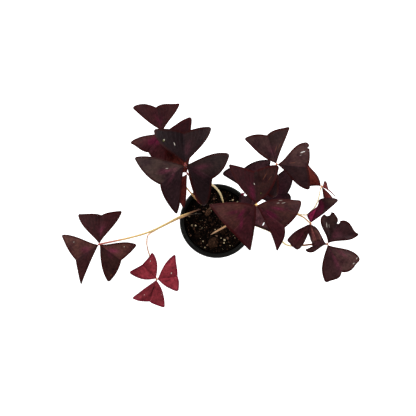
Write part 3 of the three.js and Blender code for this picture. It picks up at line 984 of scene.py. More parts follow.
@dataclass(frozen=True)
class BladeFinish:
    """The skin of a leaflet.

    Attributes:
        name: The material's name.
        slot: The record's material slot.
        face: Colour of the upper side.
        flush: The browner colour that comes and goes over it, partly its own and partly painted sheen on
            lobes that face the light.
        glow: Colour of the lighter mark.
        under: Colour of the underside.
        rim: Colour of the thin line along the margin.
        vein: Colour of the veins.
        roughness: How dull it is.
        mottle: How far it varies between dark and light places.
        drawn: How strongly its veins show.
    """

    name: str
    slot: str
    face: RGB
    flush: RGB
    glow: RGB
    under: RGB
    rim: RGB
    vein: RGB
    roughness: float = 0.5
    mottle: float = 1.1
    drawn: float = 0.35

    STALK = (170, 92, 66)
    # Colours of the spots: the near-black one is painted shade, and the palest one is both pale scarring and
    # painted glints.
    BLEMISHES = (
        (Blemish.CRIMSON.value, (140, 22, 54)), (Blemish.RUST.value, (124, 74, 52)),
        (Blemish.PAINTED_SHADE.value, (30, 8, 10)), (Blemish.LICHEN.value, (96, 98, 46)),
        (Blemish.SCAR_AND_GLINT.value, (224, 214, 202)))
    CLOUDS = 70
    PATCHES = 300
    GRAIN = 900
    FIBRES = (80, 8, 0)
    WANDER = 120
    VEINS_PER_LOBE = 7.0
    VEIN_EDGE = (0.34, 0.02)
    VEIN_START = (0.02, 0.3)
    MIDRIB_EDGE = (0.05, 0.0)
    RIM_EDGE = (3.8, 1.4)
    MEAN_SHADE = 0.8
    RELIEF = 0.0006

    def material(self) -> bpy.types.Material:
        """Build the skin.

        Returns:
            The material.
        """
        shader = Shader(self.name)
        sheet = shader.place("UV")
        across = (shader.part(sheet, 0) * 2 - 1).size()
        along = shader.part(sheet, 1)
        margin = shader.attribute("margin")
        under = shader.attribute("under")
        glow = shader.attribute("glow")

        cloud = shader.noise(self.CLOUDS, 3.0)
        patches = shader.noise(self.PATCHES, 3.0)
        grain = shader.noise(self.GRAIN, 3.0)
        wander = shader.noise(self.WANDER, 2.0) * 1.4
        fibres = shader.noise(1.0, 3.0, shader.stretched(sheet, self.FIBRES))
        fan = ((across * self.VEINS_PER_LOBE + along * 0.9) * math.pi + wander).sine().size()
        veins = fan.over(*self.VEIN_EDGE) * along.over(*self.VEIN_START)
        midrib = across.over(*self.MIDRIB_EDGE)
        lines = (veins * 0.55 + midrib).held()

        # Painted sheen, partly the blade's own brown: the lobe that faces the light is made browner and
        # lighter.
        colour = shader.mix(shader.attribute("flush") * cloud.over(0.25, 0.6), self.face, self.flush)
        colour = shader.mix(glow * (fibres.over(0.3, 0.65) * 0.3 + 0.7), colour, self.glow)
        colour = shader.mix(under, colour, shader.mix(cloud.over(0.3, 0.8), self.under, self.glow))
        colour = shader.mix(lines * self.drawn, colour, self.vein)
        streaky = (patches - 0.5) * self.mottle + (fibres - 0.5) * self.mottle
        shade = (cloud - 0.5) * 0.6 + streaky + self.MEAN_SHADE
        # Painted light and shade: each lobe is brightened or darkened for how light falls on it, darkest in
        # the darker lobe's fold.
        colour = shader.mix(1.0, colour, shade * shader.attribute("tone"), "MULTIPLY")
        colour = shader.mix(margin.over(*self.RIM_EDGE) * 0.8, colour, self.rim)
        blemish = shader.ramp(shader.attribute("blemish_kind"), self.BLEMISHES)
        # Blemishes, with painted shade in folds and painted glints among them.
        colour = shader.mix(shader.attribute("blemish"), colour, blemish)
        colour = shader.mix(shader.attribute("stalk"), colour, self.STALK)

        height = lines * 0.6 + cloud * 0.9 + grain * 0.25 + fibres * 0.5
        rough = (grain - 0.5) * 0.16 + (cloud - 0.5) * 0.2 + self.roughness
        normal = shader.bump(height, self.RELIEF, 0.7)
        return shader.finish(Base_Color=colour, Roughness=rough.held(), Normal=normal,
                             Specular_IOR_Level=0.06)


PURPLE = BladeFinish(
    "purple_blade", "purple_blade",
    (64, 28, 31), (84, 50, 44), (114, 46, 66), (100, 34, 50), (50, 5, 4), (84, 40, 48))
WINE = BladeFinish(
    "wine_blade", "purple_blade",
    (66, 24, 31), (82, 44, 40), (108, 27, 58), (104, 30, 52), (48, 4, 5), (88, 36, 46))
BLACK_PURPLE = BladeFinish(
    "black_purple_blade", "purple_blade",
    (48, 27, 32), (66, 48, 44), (108, 52, 68), (96, 34, 50), (38, 4, 3), (64, 40, 48), roughness=0.45)
DEEP_WINE = BladeFinish(
    "deep_wine_blade", "purple_blade",
    (48, 25, 30), (66, 40, 42), (88, 28, 54), (96, 28, 48), (26, 5, 8), (66, 34, 44))
CRIMSON = BladeFinish(
    "crimson_blade", "crimson_blade",
    (144, 46, 58), (160, 62, 68), (112, 22, 54), (150, 46, 64), (112, 22, 42), (84, 10, 28),
    mottle=1.2, drawn=0.6)
DUSKY = BladeFinish(
    "dusky_blade", "purple_blade",
    (56, 28, 33), (75, 50, 47), (106, 46, 64), (96, 34, 50), (46, 5, 4), (76, 40, 48))
# This reddish brown is partly the leaves' own colour and partly painted light, for light from the floor that
# shines through them.
BACKLIT_RUSSET = BladeFinish(
    "russet_blade", "russet_blade",
    (104, 34, 32), (120, 46, 34), (120, 26, 50), (120, 36, 40), (60, 10, 12), (80, 20, 22))
MAGENTA = BladeFinish(
    "magenta_blade", "purple_blade",
    (56, 20, 26), (78, 48, 40), (104, 20, 52), (118, 22, 58), (44, 6, 14), (90, 24, 48))

LEAF_FINISHES = {
    "a": PURPLE, "b": CRIMSON, "c": BLACK_PURPLE, "e": WINE, "f": WINE, "g": DEEP_WINE,
    "h": DUSKY, "i": BACKLIT_RUSSET, "j": DUSKY, "k": BACKLIT_RUSSET, "l": MAGENTA,
}


@dataclass
class Leaflet:
    """One leaflet: a thin folded blade with its soft link into the knob.

    Attributes:
        name: The CAD node that it stands for, without the word leaflet.
        knob: Centre of the leaf's knob.
        blade: Its shape.
        finish: Its skin.
        character: What sets it apart.
        rows: Cells from the link to the end edge.
        columns: Cells across each lobe.
        thickness: Thickness at the middle of the blade.
        cup: How far each lobe arches up between the midrib and its edge.
        groove: Depth of the midrib's groove.
        painted_fold_shade: Painted shade: how much darker the darker lobe is painted beside the midrib.
        pull: How far the blade's foot is drawn in towards the knob.
        pull_reach: Distance over which that fades.
        link_radius: Radius of the soft link at its middle.
        phases: The phases of its own waves, drawn from its name.
    """

    name: str
    knob: Point
    blade: Blade
    finish: BladeFinish
    character: Character
    rows: int = 34
    columns: int = 22
    thickness: float = 0.4
    cup: float = 1.1
    groove: float = 0.35
    painted_fold_shade: float = 0.42
    pull: float = 1.3
    pull_reach: float = 6.0
    link_radius: float = 0.5
    phases: list[float] = field(default_factory=list)

    MARKS = ("margin", "under", "glow", "flush", "tone", "blemish", "blemish_kind", "stalk")
    GROOVE_WIDTH, GROOVE_START = 0.05, (0.0, 0.3)
    SIDE_WAVES, SIDE_WAVE_RISE, SIDE_WAVE_POWER = 2.3, 0.9, 4
    END_WAVES, END_WAVE_RISE, END_WAVE_POWER = 1.4, 0.7, 6
    SWELLS, SWELL_RISE = (2.4, 3.1), 1.6
    MIDRIB_FADE = 0.05
    FOLD_SHADE_REACH, FOLD_SHADE_START = 0.26, (0.0, 0.04)
    STALK_FADE = (1.2, 2.4)
    EDGE_TAPER = (-1.5, 3.0)
    SPOT_MARGIN = 1.6
    FAR_FROM_MARGIN = 9.0
    LINK_TAPER, LINK_DROP = (1.2, 0.8), 0.1

    def __post_init__(self) -> None:
        """Draw the phases of the leaflet's own waves."""
        draw = random.Random(self.name)
        self.phases = [draw.uniform(0, FULL_TURN) for _ in range(4)]

    @cached_property
    def surfaces(self) -> dict[int, LobeSurface]:
        """The two lobes by side."""
        return {side: LobeSurface(self.blade, side) for side in (1, -1)}

    def _base(self, along: float, across: float) -> Vector:
        """A point of the smooth middle surface, drawn in a little towards the knob.

        Args:
            along: 0 at the link and 1 at the end edge.
            across: -1 at the left edge, 0 at the midrib and 1 at the right edge.

        Returns:
            The point, measured from the knob.
        """
        point = self.surfaces[1 if across < 0 else -1].at(along, 1 - abs(across))
        distance = point.xy.length
        share = 1 - self.pull * math.exp(-distance / self.pull_reach) / distance
        return Vector((point.x * share, point.y * share, point.z))

    def _relief(self, along: float, across: float) -> float:
        """How far the surface stands off the smooth one, from its arch, groove and waves.

        Args:
            along: 0 at the link and 1 at the end edge.
            across: -1 at the left edge, 0 at the midrib and 1 at the right edge.

        Returns:
            The height in millimetres.
        """
        inward = 1 - abs(across)
        arch = self.cup * math.sin(math.pi * inward) * along
        groove = -self.groove * math.exp(-((across / self.GROOVE_WIDTH) ** 2))
        side_wave = math.sin(FULL_TURN * self.SIDE_WAVES * along + self.phases[0 if across < 0 else 1])
        end_wave = math.sin(FULL_TURN * self.END_WAVES * across + self.phases[2])
        side_rise = self.SIDE_WAVE_RISE * side_wave * abs(across) ** self.SIDE_WAVE_POWER * along
        end_rise = self.END_WAVE_RISE * end_wave * along ** self.END_WAVE_POWER
        place = Vector((across * self.SWELLS[0], along * self.SWELLS[1], self.phases[3]))
        swell = noise.noise(place) * along * self.SWELL_RISE
        waves = self.character.crumple * (side_rise + end_rise + swell)
        return arch + groove * smooth_step(*self.GROOVE_START, along) + waves

    def _margin(self, along: float, across: float) -> float:
        """Distance in plan from the nearest edge of the blade.

        Args:
            along: 0 at the link and 1 at the end edge.
            across: -1 at the left edge, 0 at the midrib and 1 at the right edge.

        Returns:
            The distance.
        """
        here = self._base(along, across).to_2d()
        to_side = (here - self._base(along, 1 if across > 0 else -1).to_2d()).length
        to_end = (here - self._base(1, across).to_2d()).length
        return min(to_side, to_end)

    def build(self) -> Piece:
        """Bend a grid into the blade, cut its holes, give it thickness and add the link.

        Returns:
            The finished piece.
        """
        body = bmesh.new()
        for mark in self.MARKS:
            body.verts.layers.float.new(mark)
        uv = body.loops.layers.uv.new("blade")
        bmesh.ops.create_grid(body, x_segments=2 * self.columns, y_segments=self.rows, size=1)
        self._refine(body)
        for face in body.faces:
            for loop in face.loops:
                loop[uv].uv = ((loop.vert.co.x + 1) / 2, (loop.vert.co.y + 1) / 2)
        for vertex in body.verts:
            self._shape(vertex, self._layers(body))
        self._thicken(body)
        if self.character.holes:
            cutter = bmesh.new()
            for hole in self.character.holes:
                hole.add_to(cutter)
            carve(body, cutter)
            clean_cut(body)
        self._add_link(body)
        bmesh.ops.translate(body, vec=self.knob, verts=body.verts)
        return Piece(
            f"{self.name}_blade", body, MATERIALS[self.finish], self.finish.slot, (f"leaflet_{self.name}",))

    def _layers(self, body: bmesh.types.BMesh) -> dict[str, Any]:
        """The blade's own layers by name."""
        return {mark: body.verts.layers.float[mark] for mark in self.MARKS}

    def _refine(self, body: bmesh.types.BMesh) -> None:
        """Make the flat grid finer where the blade has spots.

        Args:
            body: The flat grid.
        """
        near = {vertex for vertex in body.verts if self._is_marked(vertex)}
        edges = [edge for edge in body.edges if near.issuperset(edge.verts)]
        if edges:
            bmesh.ops.subdivide_edges(body, edges=edges, cuts=3, use_grid_fill=True)

    def _is_marked(self, vertex: bmesh.types.BMVert) -> bool:
        """Find out whether a vertex of the flat grid will lie near a spot.

        Args:
            vertex: The vertex.

        Returns:
            True where it will.
        """
        plan = self._base((vertex.co.y + 1) / 2, vertex.co.x).xy
        return any((plan - Vector((spot.x, spot.y))).length < spot.radius * spot.stretch + self.SPOT_MARGIN
                   for spot in self.character.spots)

    def _shape(self, vertex: bmesh.types.BMVert, layers: dict[str, Any]) -> None:
        """Move one vertex of the flat grid to its place on the blade and mark it.

        Args:
            vertex: The vertex.
            layers: The blade's layers by name.
        """
        across, along = vertex.co.x, (vertex.co.y + 1) / 2
        point = self._base(along, across)
        point.z += self._relief(along, across)
        vertex[layers["margin"]] = self._margin(along, across)
        glows = [streak.at(point.x, point.y) for streak in self.character.streaks]
        vertex[layers["glow"]] = max([self.character.glow.at(along, across), *glows])
        # Painted sheen by lobe, partly the lobe's own brown.
        vertex[layers["flush"]] = self._between_lobes(self.character.flush, across)
        vertex[layers["stalk"]] = 1 - smooth_step(*self.STALK_FADE, point.xy.length)
        if self.character.under_shows:
            vertex[layers["under"]] = self.character.under_shows(along, across)
        # Painted light and shade by lobe.
        vertex[layers["tone"]] = self._tone_and_painted_light(across)
        if self.character.spots:
            plan = (point.x, point.y)
            shown = max(self.character.spots, key=lambda spot: (spot.at(*plan), -spot.distance(*plan)))
            vertex[layers["blemish"]] = shown.at(*plan)
            vertex[layers["blemish_kind"]] = shown.kind.value
        vertex.co = point

    def _between_lobes(self, values: tuple[float, float], across: float) -> float:
        """A value that changes from the left lobe's to the right one's over the midrib."""
        left, right = values
        return left + (right - left) * smooth_step(-self.MIDRIB_FADE, self.MIDRIB_FADE, across)

    def _tone_and_painted_light(self, across: float) -> float:
        """How bright the blade is painted: each lobe's tone with painted light and shade, and painted shade
        at the darker lobe's fold.

        Args:
            across: -1 at the left edge, 0 at the midrib and 1 at the right edge.

        Returns:
            The brightness, where 1 leaves the colour as it is.
        """
        tone = self._between_lobes(self.character.tone, across)
        shaded_side = 1 if self.character.tone[0] > self.character.tone[1] else -1
        if across * shaded_side < 0:
            return tone
        # Painted shade: the darker lobe darkens most beside the midrib fold.
        fade = math.exp(-abs(across) / self.FOLD_SHADE_REACH)
        return tone * (1 - self.painted_fold_shade * fade * smooth_step(*self.FOLD_SHADE_START, abs(across)))

    def _thicken(self, body: bmesh.types.BMesh) -> None:
        """Give the sheet an underside, thinner towards its edges.

        Args:
            body: The blade as an open sheet.
        """
        layers = self._layers(body)
        made = bmesh.ops.extrude_face_region(body, geom=body.faces[:], use_keep_orig=True)["geom"]
        for vertex in made:
            if isinstance(vertex, bmesh.types.BMVert):
                taper = smooth_step(*self.EDGE_TAPER, vertex[layers["margin"]])
                vertex.co.z -= self.thickness * taper
                vertex[layers["under"]] = 1.0
        face_outward(body)

    def _add_link(self, body: bmesh.types.BMesh) -> None:
        """Add the soft link between the knob and the blade.

        Args:
            body: The blade.
        """
        turn = Matrix.Rotation(math.radians(self.blade.turn), 4, "Z")
        length = LobeSurface.LINK_LENGTH
        middle = Matrix.Translation((length / 2, 0, -self.LINK_DROP))
        near, far = (self.link_radius * share for share in self.LINK_TAPER)
        link = bmesh.ops.create_cone(
            body, cap_ends=True, segments=12, radius1=near, radius2=far, depth=length,
            matrix=turn @ middle @ Matrix.Rotation(math.pi / 2, 4, "Y"))["verts"]
        layers = self._layers(body)
        fill_layer(layers["stalk"], link, 1.0)
        fill_layer(layers["margin"], link, self.FAR_FROM_MARGIN)


@dataclass(frozen=True)
class StemFinish:
    """The skin of a petiole.

    Attributes:
        name: The material's name.
        stops: Colours from the soil, at 0, to the knob, at 1.
        foot: How thick the stalk is at the soil, as a share of its full radius.
        glow: How strongly it glows: painted light that stands in for light shining through it.
        thick: How much fuller it is than its core.
    """

    name: str
    stops: tuple[tuple[float, RGB], ...]
    foot: float = 0.8
    glow: float = 0.0
    thick: float = 1.15

    FLECKS = (150, 96, 66)
    CLOUDS = 90
    GRAIN = 1400
    RELIEF = 0.0002

    def material(self) -> bpy.types.Material:
        """Build the skin.

        Returns:
            The material.
        """
        shader = Shader(self.name)
        along = shader.attribute("along")
        cloud = shader.noise(self.CLOUDS, 3.0)
        grain = shader.noise(self.GRAIN, 2.0)
        colour = shader.ramp((along + (cloud - 0.5) * 0.06).held(), self.stops)
        colour = shader.mix(grain.over(0.55, 0.85) * 0.25, colour, shader.mix(0.5, colour, self.FLECKS))
        normal = shader.bump(grain * 0.5 + cloud, self.RELIEF, 0.5)
        # The emission is painted light for light that shines through the stalk.
        return shader.finish(Base_Color=colour, Roughness=0.42 + grain * 0.12, Normal=normal,
                             Specular_IOR_Level=0.3, Emission_Color=colour, Emission_Strength=self.glow)


LONG_STEM = StemFinish("long_stem", (
    (0.0, (44, 28, 20)), (0.08, (84, 52, 38)), (0.14, (136, 96, 66)), (0.2, (206, 170, 112)),
    (0.45, (230, 200, 132)), (0.75, (222, 186, 122)), (0.86, (184, 112, 92)),
    (1.0, (150, 54, 48))), foot=0.6, thick=1.25)
PALE_STEM = StemFinish("pale_stem", (
    (0.0, (24, 15, 11)), (0.12, (34, 22, 16)), (0.17, (196, 150, 110)), (0.4, (224, 180, 142)),
    (0.95, (222, 168, 140)), (1.0, (196, 130, 100))), foot=0.6, thick=1.3)
THICK_STEM = StemFinish("thick_stem", (
    (0.0, (110, 84, 58)), (0.06, (180, 150, 104)), (0.2, (226, 204, 152)), (0.4, (236, 216, 166)),
    (0.54, (226, 192, 144)), (0.66, (176, 92, 78)), (0.8, (140, 50, 54)),
    (1.0, (110, 34, 46))), foot=0.4, glow=0.03, thick=0.9)
ROSY_STEM = StemFinish("rosy_stem", (
    (0.0, (50, 30, 22)), (0.15, (96, 60, 44)), (0.4, (150, 98, 70)), (0.9, (120, 50, 44)),
    (1.0, (110, 34, 46))))
TAN_STEM = StemFinish("tan_stem", (
    (0.0, (96, 66, 44)), (0.1, (172, 128, 82)), (0.5, (208, 172, 118)), (0.96, (200, 156, 104)),
    (1.0, (168, 88, 48))), thick=1.05)
THIN_STEM = StemFinish("thin_stem", (
    (0.0, (96, 64, 42)), (0.12, (196, 166, 104)), (0.5, (206, 182, 118)), (0.56, (244, 226, 180)),
    (0.7, (240, 220, 172)), (0.76, (132, 86, 52)), (0.94, (146, 92, 58)),
    (1.0, (164, 92, 48))), thick=1.25)
CREAM_STEM = StemFinish("cream_stem", (
    (0.0, (140, 94, 76)), (0.06, (190, 138, 112)), (0.14, (204, 164, 128)), (0.3, (170, 126, 88)),
    (0.96, (206, 164, 104)), (1.0, (224, 190, 120))), foot=0.2, glow=0.03, thick=1.0)
FAINT_STEM = StemFinish("faint_stem", (
    (0.0, (160, 120, 84)), (0.3, (236, 214, 160)), (0.6, (250, 240, 210)), (0.94, (248, 236, 204)),
    (1.0, (176, 100, 54))), glow=0.08, thick=1.2)
STEM_FINISHES = {
    "a": LONG_STEM, "b": PALE_STEM, "c": THICK_STEM, "e": TAN_STEM, "f": CREAM_STEM, "g": TAN_STEM,
    "h": TAN_STEM, "i": FAINT_STEM, "j": THIN_STEM, "k": ROSY_STEM, "l": TAN_STEM,
}


@dataclass
class Petiole:
    """One petiole: a long tapering stalk that swells into the leaf's knob.

    Attributes:
        letter: The leaf's letter.
        leaf: The leaf's sizes.
        finish: Its skin.
        sides: Sides of its section.
        step: Distance between its rings.
        knob_radius: Radius of the knob.
        root_depth: How deep it stands in the soil.
        upright: How far it rises straight out of the soil.
        taper: How much of its radius it loses on the way up.
        swelling: Distance over which it swells into the knob.
        wobble: How far its radius wanders.
    """

    letter: str
    leaf: Leaf
    finish: StemFinish
    sides: int = 14
    step: float = 1.6
    knob_radius: float = 1.3
    root_depth: float = 5.7
    upright: float = 2.0
    taper: float = 0.15
    swelling: float = 1.9
    wobble: float = 0.12

    PAST_KNOB = 0.8
    FOOT_REACH = 0.3
    WOBBLES = 0.12
    DOME = ((0.82, 0.45), (0.5, 0.3))

    @cached_property
    def path(self) -> list[Vector]:
        """The middle of the petiole, from its root to just past the knob.

        Returns:
            Points a step apart.
        """
        x, y, soil_top = self.leaf.route[0]
        anchors = [
            Vector((x, y, soil_top - self.root_depth)), Vector((x, y, soil_top + self.upright)),
            *map(Vector, self.leaf.route[1:]), Vector(self.leaf.knob),
        ]
        ahead = (anchors[-1] - anchors[-2]).normalized()
        anchors.append(anchors[-1] + ahead * self.knob_radius * self.PAST_KNOB)
        return even_curve(anchors, self.step)

    def _radius(self, travelled: float, length: float) -> float:
        """Radius of the petiole at a distance from its root.

        Args:
            travelled: The distance.
            length: The petiole's whole length.

        Returns:
            The radius.
        """
        share = travelled / length
        foot = self.finish.foot
        fullness = foot + (1 - foot) * smooth_step(0.0, self.FOOT_REACH, share) - self.taper * share
        stem = self.leaf.stem * self.finish.thick * fullness
        left = length - travelled - self.knob_radius * self.PAST_KNOB
        radius = stem + (self.knob_radius - stem) * math.exp(-((left / self.swelling) ** 2))
        wander = noise.noise(Vector((travelled * self.WOBBLES, ord(self.letter), 0)))
        return radius * (1 + wander * self.wobble)

    def build(self) -> Piece:
        """Sweep a round section along the path, with a rounded end at the knob.

        Returns:
            The finished piece.
        """
        body = bmesh.new()
        layer = body.verts.layers.float.new("along")
        length = self.step * (len(self.path) - 1)
        frames = carried_frames(self.path)
        ring = bmesh.ops.create_circle(body, segments=self.sides, radius=1, cap_ends=True)["verts"]
        bmesh.ops.transform(body, matrix=frames[0] @ Matrix.Scale(self._radius(0, length), 4), verts=ring)
        edges = body.edges[:]
        for number, place in enumerate(frames[1:], start=1):
            radius = self._radius(number * self.step, length)
            before = self._radius((number - 1) * self.step, length)
            ring, edges = grow_ring(body, edges)
            move = place @ Matrix.Scale(radius / before, 4) @ frames[number - 1].inverted()
            bmesh.ops.transform(body, matrix=move, verts=ring)
            fill_layer(layer, ring, number / (len(frames) - 1))
        self._close(body, edges, layer)
        face_outward(body)
        name = f"petiole_{self.letter}"
        return Piece(f"{self.letter}_stalk", body, MATERIALS[self.finish], "petiole_skin", (name,))

    def _close(self, body: bmesh.types.BMesh, edges: list[bmesh.types.BMEdge], layer: Any) -> None:
        """Close the open end with a small dome.

        Args:
            body: The tube.
            edges: The open ring.
            layer: The layer that holds the share of the way.
        """
        for scale, rise in self.DOME:
            ring, edges = grow_ring(body, edges)
            middle = sum((vertex.co for vertex in ring), Vector()) / len(ring)
            shrink = Matrix.Translation(middle) @ Matrix.Scale(scale, 4) @ Matrix.Translation(-middle)
            bmesh.ops.transform(body, matrix=shrink, verts=ring)
            bmesh.ops.translate(body, vec=(0, 0, rise), verts=ring)
            fill_layer(layer, ring, 1.0)
        bmesh.ops.holes_fill(body, edges=edges, sides=0)


def even_curve(anchors: Sequence[Vector], step: float, parts: int = 24) -> list[Vector]:
    """Points about a step apart on a smooth curve through anchors.

    Args:
        anchors: The points that the curve passes through.
        step: The distance wanted.
        parts: Straight parts that stand for the curve between two anchors.

    Returns:
        The points, with both ends.
    """
    ends = [anchors[0] * 2 - anchors[1], *anchors, anchors[-1] * 2 - anchors[-2]]
    fine = [curve_point(ends[index:index + 4], part / parts)
            for index in range(len(anchors) - 1) for part in range(parts)]
    fine.append(anchors[-1])
    lengths = [0.0]
    for here, there in zip(fine, fine[1:]):
        lengths.append(lengths[-1] + (there - here).length)
    count = max(2, round(lengths[-1] / step))
    points, index = [], 0
    for number in range(count):
        target = lengths[-1] * number / count
        while lengths[index + 1] < target:
            index += 1
        share = (target - lengths[index]) / (lengths[index + 1] - lengths[index])
        points.append(fine[index].lerp(fine[index + 1], share))
    return [*points, fine[-1]]


def curve_point(anchors: Sequence[Vector], share: float) -> Vector:
    """A point between the middle two of four anchors on a centripetal spline.

    Args:
        anchors: Four points in a row.
        share: 0 at the second one and 1 at the third.

    Returns:
        The point.
    """
    first, start, end, last = anchors
    before, span, after = (
        math.sqrt((there - here).length) for here, there in zip(anchors, anchors[1:]))
    leave = ((start - first) / before - (end - first) / (before + span) + (end - start) / span) * span
    arrive = ((end - start) / span - (last - start) / (span + after) + (last - end) / after) * span
    square, cube = share ** 2, share ** 3
    return (start * (2 * cube - 3 * square + 1) + leave * (cube - 2 * square + share)
            + end * (3 * square - 2 * cube) + arrive * (cube - square))


def carried_frames(path: Sequence[Vector]) -> list[Matrix]:
    """Frames along a path whose Z follows it and which don't twist.

    Args:
        path: The points.

    Returns:
        One frame at each point.
    """
    ways = [(there - here).normalized() for here, there in zip(path, path[1:])]
    ways = [ways[0], *[(a + b).normalized() for a, b in zip(ways, ways[1:])], ways[-1]]
    turn: Quaternion = ways[0].to_track_quat("Z", "Y")
    frames = [Matrix.Translation(path[0]) @ turn.to_matrix().to_4x4()]
    for here, before, way in zip(path[1:], ways, ways[1:]):
        turn = before.rotation_difference(way) @ turn
        frames.append(Matrix.Translation(here) @ turn.to_matrix().to_4x4())
    return frames


# ---------------------------------------------------------------- pot


@dataclass(frozen=True)
class PotFinish:
    """Black moulded plastic with a little dust and water scale.

    Attributes:
        name: The material's name.
        plastic: Colour of the plastic.
        dust: Colour of the dust on it.
        scale_mark: Colour of the dried drops.
        ring_pitch: Distance between its fine moulding rings, in metres.
    """

    name: str = "pot_plastic"
    plastic: RGB = (12, 12, 10)
    dust: RGB = (30, 31, 26)
    scale_mark: RGB = (60, 60, 52)
    ring_pitch: float = 0.0016

    CLOUDS = 45
    GRAIN = 1600
    DROPS = 420
    RELIEF = 0.00015

    def material(self) -> bpy.types.Material:
        """Build the plastic.

        Returns:
            The material.
        """
        shader = Shader(self.name)
        cloud = shader.noise(self.CLOUDS, 4.0, warp=0.6)
        grain = shader.noise(self.GRAIN, 2.0)
        height = shader.part(shader.place(), 2)
        rings = (height * (FULL_TURN / self.ring_pitch)).sine() * 0.5 + 0.5
        colour = shader.mix(cloud.over(0.45, 0.75) * 0.45, self.plastic, self.dust)
        specks = shader.cells(self.DROPS).over(0.16, 0.06) * shader.noise(60, 2.0).over(0.55, 0.7)
        colour = shader.mix(specks * 0.5, colour, self.scale_mark)
        rough = 0.36 + cloud * 0.2 + grain * 0.08
        normal = shader.bump(grain * 0.4 + rings * 0.12, self.RELIEF, 0.5)
        return shader.finish(Base_Color=colour, Roughness=rough, Normal=normal, Specular_IOR_Level=0.2)


@dataclass
class Pot:
    """The nursery pot: tapered, with a thick lip, ridges inside it and holes in its floor.

    Attributes:
        height: Its height.
        floor: Thickness of its floor.
        base_radius: Radius of its underside.
        base_edge: Width of the slope round the underside.
        neck_radius: Radius of the wall under the lip.
        rim_radius: Radius over the lip.
        lip: The lip from its lower edge over its top, as pairs of distance in from the radius over the
            lip and drop from the top.
        inner_steps: The stepped inner wall, as pairs of radius and height.
        ridges: Heights of the fine ridges on the inner wall, just above the soil.
        ridge: Outline of one ridge, as pairs of radius and drop.
        wall: Thickness of the wall.
        drain_holes: Number of holes in the floor.
        drain_radius: Their radius.
        drain_circle: Radius of the circle that they lie on.
        steps: Steps of the turned shape.
        rounding: How far its corners are rounded.
    """

    height: float = 90.0
    floor: float = 1.6
    base_radius: float = 36.0
    base_edge: float = 1.0
    neck_radius: float = 46.8
    rim_radius: float = 51.0
    lip: tuple[tuple[float, float], ...] = (
        (0.8, 10.5), (0.35, 9.7), (0, 1.9), (0.4, 0.8), (1.2, 0.1), (2.4, 0), (2.8, 0.9), (3.05, 1.2))
    inner_steps: tuple[tuple[float, float], ...] = (
        (47.8, 87.4), (47.1, 87.0), (46.6, 83.6), (45.9, 83.2))
    ridges: tuple[float, ...] = (82.4, 81.2)
    ridge: tuple[tuple[float, float], ...] = ((45.75, 0), (45.5, 0.2), (45.5, 0.45), (45.65, 0.65))
    wall: float = 1.3
    drain_holes: int = 5
    drain_radius: float = 4.5
    drain_circle: float = 23.0
    steps: int = 144
    rounding: float = 0.32

    def _profile(self) -> list[tuple[float, float]]:
        """The wall's outline as pairs of radius and height, from under the floor to over it.

        Returns:
            The pairs.
        """
        lip = [(self.rim_radius - inset, self.height - drop) for inset, drop in self.lip]
        outside = [(0, 0), (self.base_radius - self.base_edge, 0), (self.base_radius, self.base_edge),
                   (self.neck_radius, lip[0][1])]
        ridges = [(radius, top - drop) for top in self.ridges for radius, drop in self.ridge]
        inside = [(self.base_radius - self.wall, self.floor), (0, self.floor)]
        return [*outside, *lip, *self.inner_steps, *ridges, *inside]

    def build(self) -> Piece:
        """Spin the outline, round its corners and drill the floor.

        Returns:
            The finished piece.
        """
        body = spun_solid(self._profile(), self.steps, self.rounding)
        self._drill(body)
        return Piece("pot_shell", body, MATERIALS[PotFinish()], "pot_plastic", ("pot",))

    def _drill(self, body: bmesh.types.BMesh) -> None:
        """Cut the drain holes with a boolean modifier.

        Args:
            body: The whole shell.
        """
        drill = bmesh.new()
        for number in range(self.drain_holes):
            angle = FULL_TURN * number / self.drain_holes
            spot = Matrix.Translation(
                (self.drain_circle * math.cos(angle), self.drain_circle * math.sin(angle), 0))
            bmesh.ops.create_cone(drill, cap_ends=True, segments=32, radius1=self.drain_radius,
                                  radius2=self.drain_radius, depth=4 * self.floor, matrix=spot)
        carve(body, drill)


# ---------------------------------------------------------------- soil


@dataclass(frozen=True)
class GrainFinish:
    """A loose material whose grains differ in colour.

    Attributes:
        name: The material's name.
        stops: Colours for grains from 0 to 1.
        roughness: How dull it is.
        fine: Fine features per metre.
    """

    name: str
    stops: tuple[tuple[float, RGB], ...]
    roughness: float = 0.85
    fine: float = 900.0

    SHADOW = (4, 2, 1)
    RELIEF = 0.0006

    def material(self) -> bpy.types.Material:
        """Build the material.

        Returns:
            The material.
        """
        shader = Shader(self.name)
        tint = shader.attribute("tint")
        cloud = shader.noise(self.fine * 0.3, 4.0, warp=0.4)
        grain = shader.noise(self.fine, 4.0)
        colour = shader.ramp((tint + (cloud - 0.5) * 0.3).held(), self.stops)
        colour = shader.mix(grain.over(0.5, 0.32) * 0.8, colour, self.SHADOW)
        normal = shader.bump(grain + cloud * 0.6, self.RELIEF, 0.9)
        rough = self.roughness + (grain - 0.5) * 0.2
        return shader.finish(Base_Color=colour, Roughness=rough.held(), Normal=normal,
                             Specular_IOR_Level=0.04)


PEAT = GrainFinish("peat", ((0.0, (1, 0, 0)), (0.5, (6, 3, 2)), (1.0, (28, 17, 11))))
BARK = GrainFinish("bark", (
    (0.0, (3, 1, 1)), (0.35, (18, 10, 6)), (0.6, (42, 26, 17)), (0.85, (80, 55, 41)), (1.0, (122, 94, 76))))
PERLITE = GrainFinish("perlite", ((0.0, (168, 146, 112)), (1.0, (240, 226, 186))), 0.7)


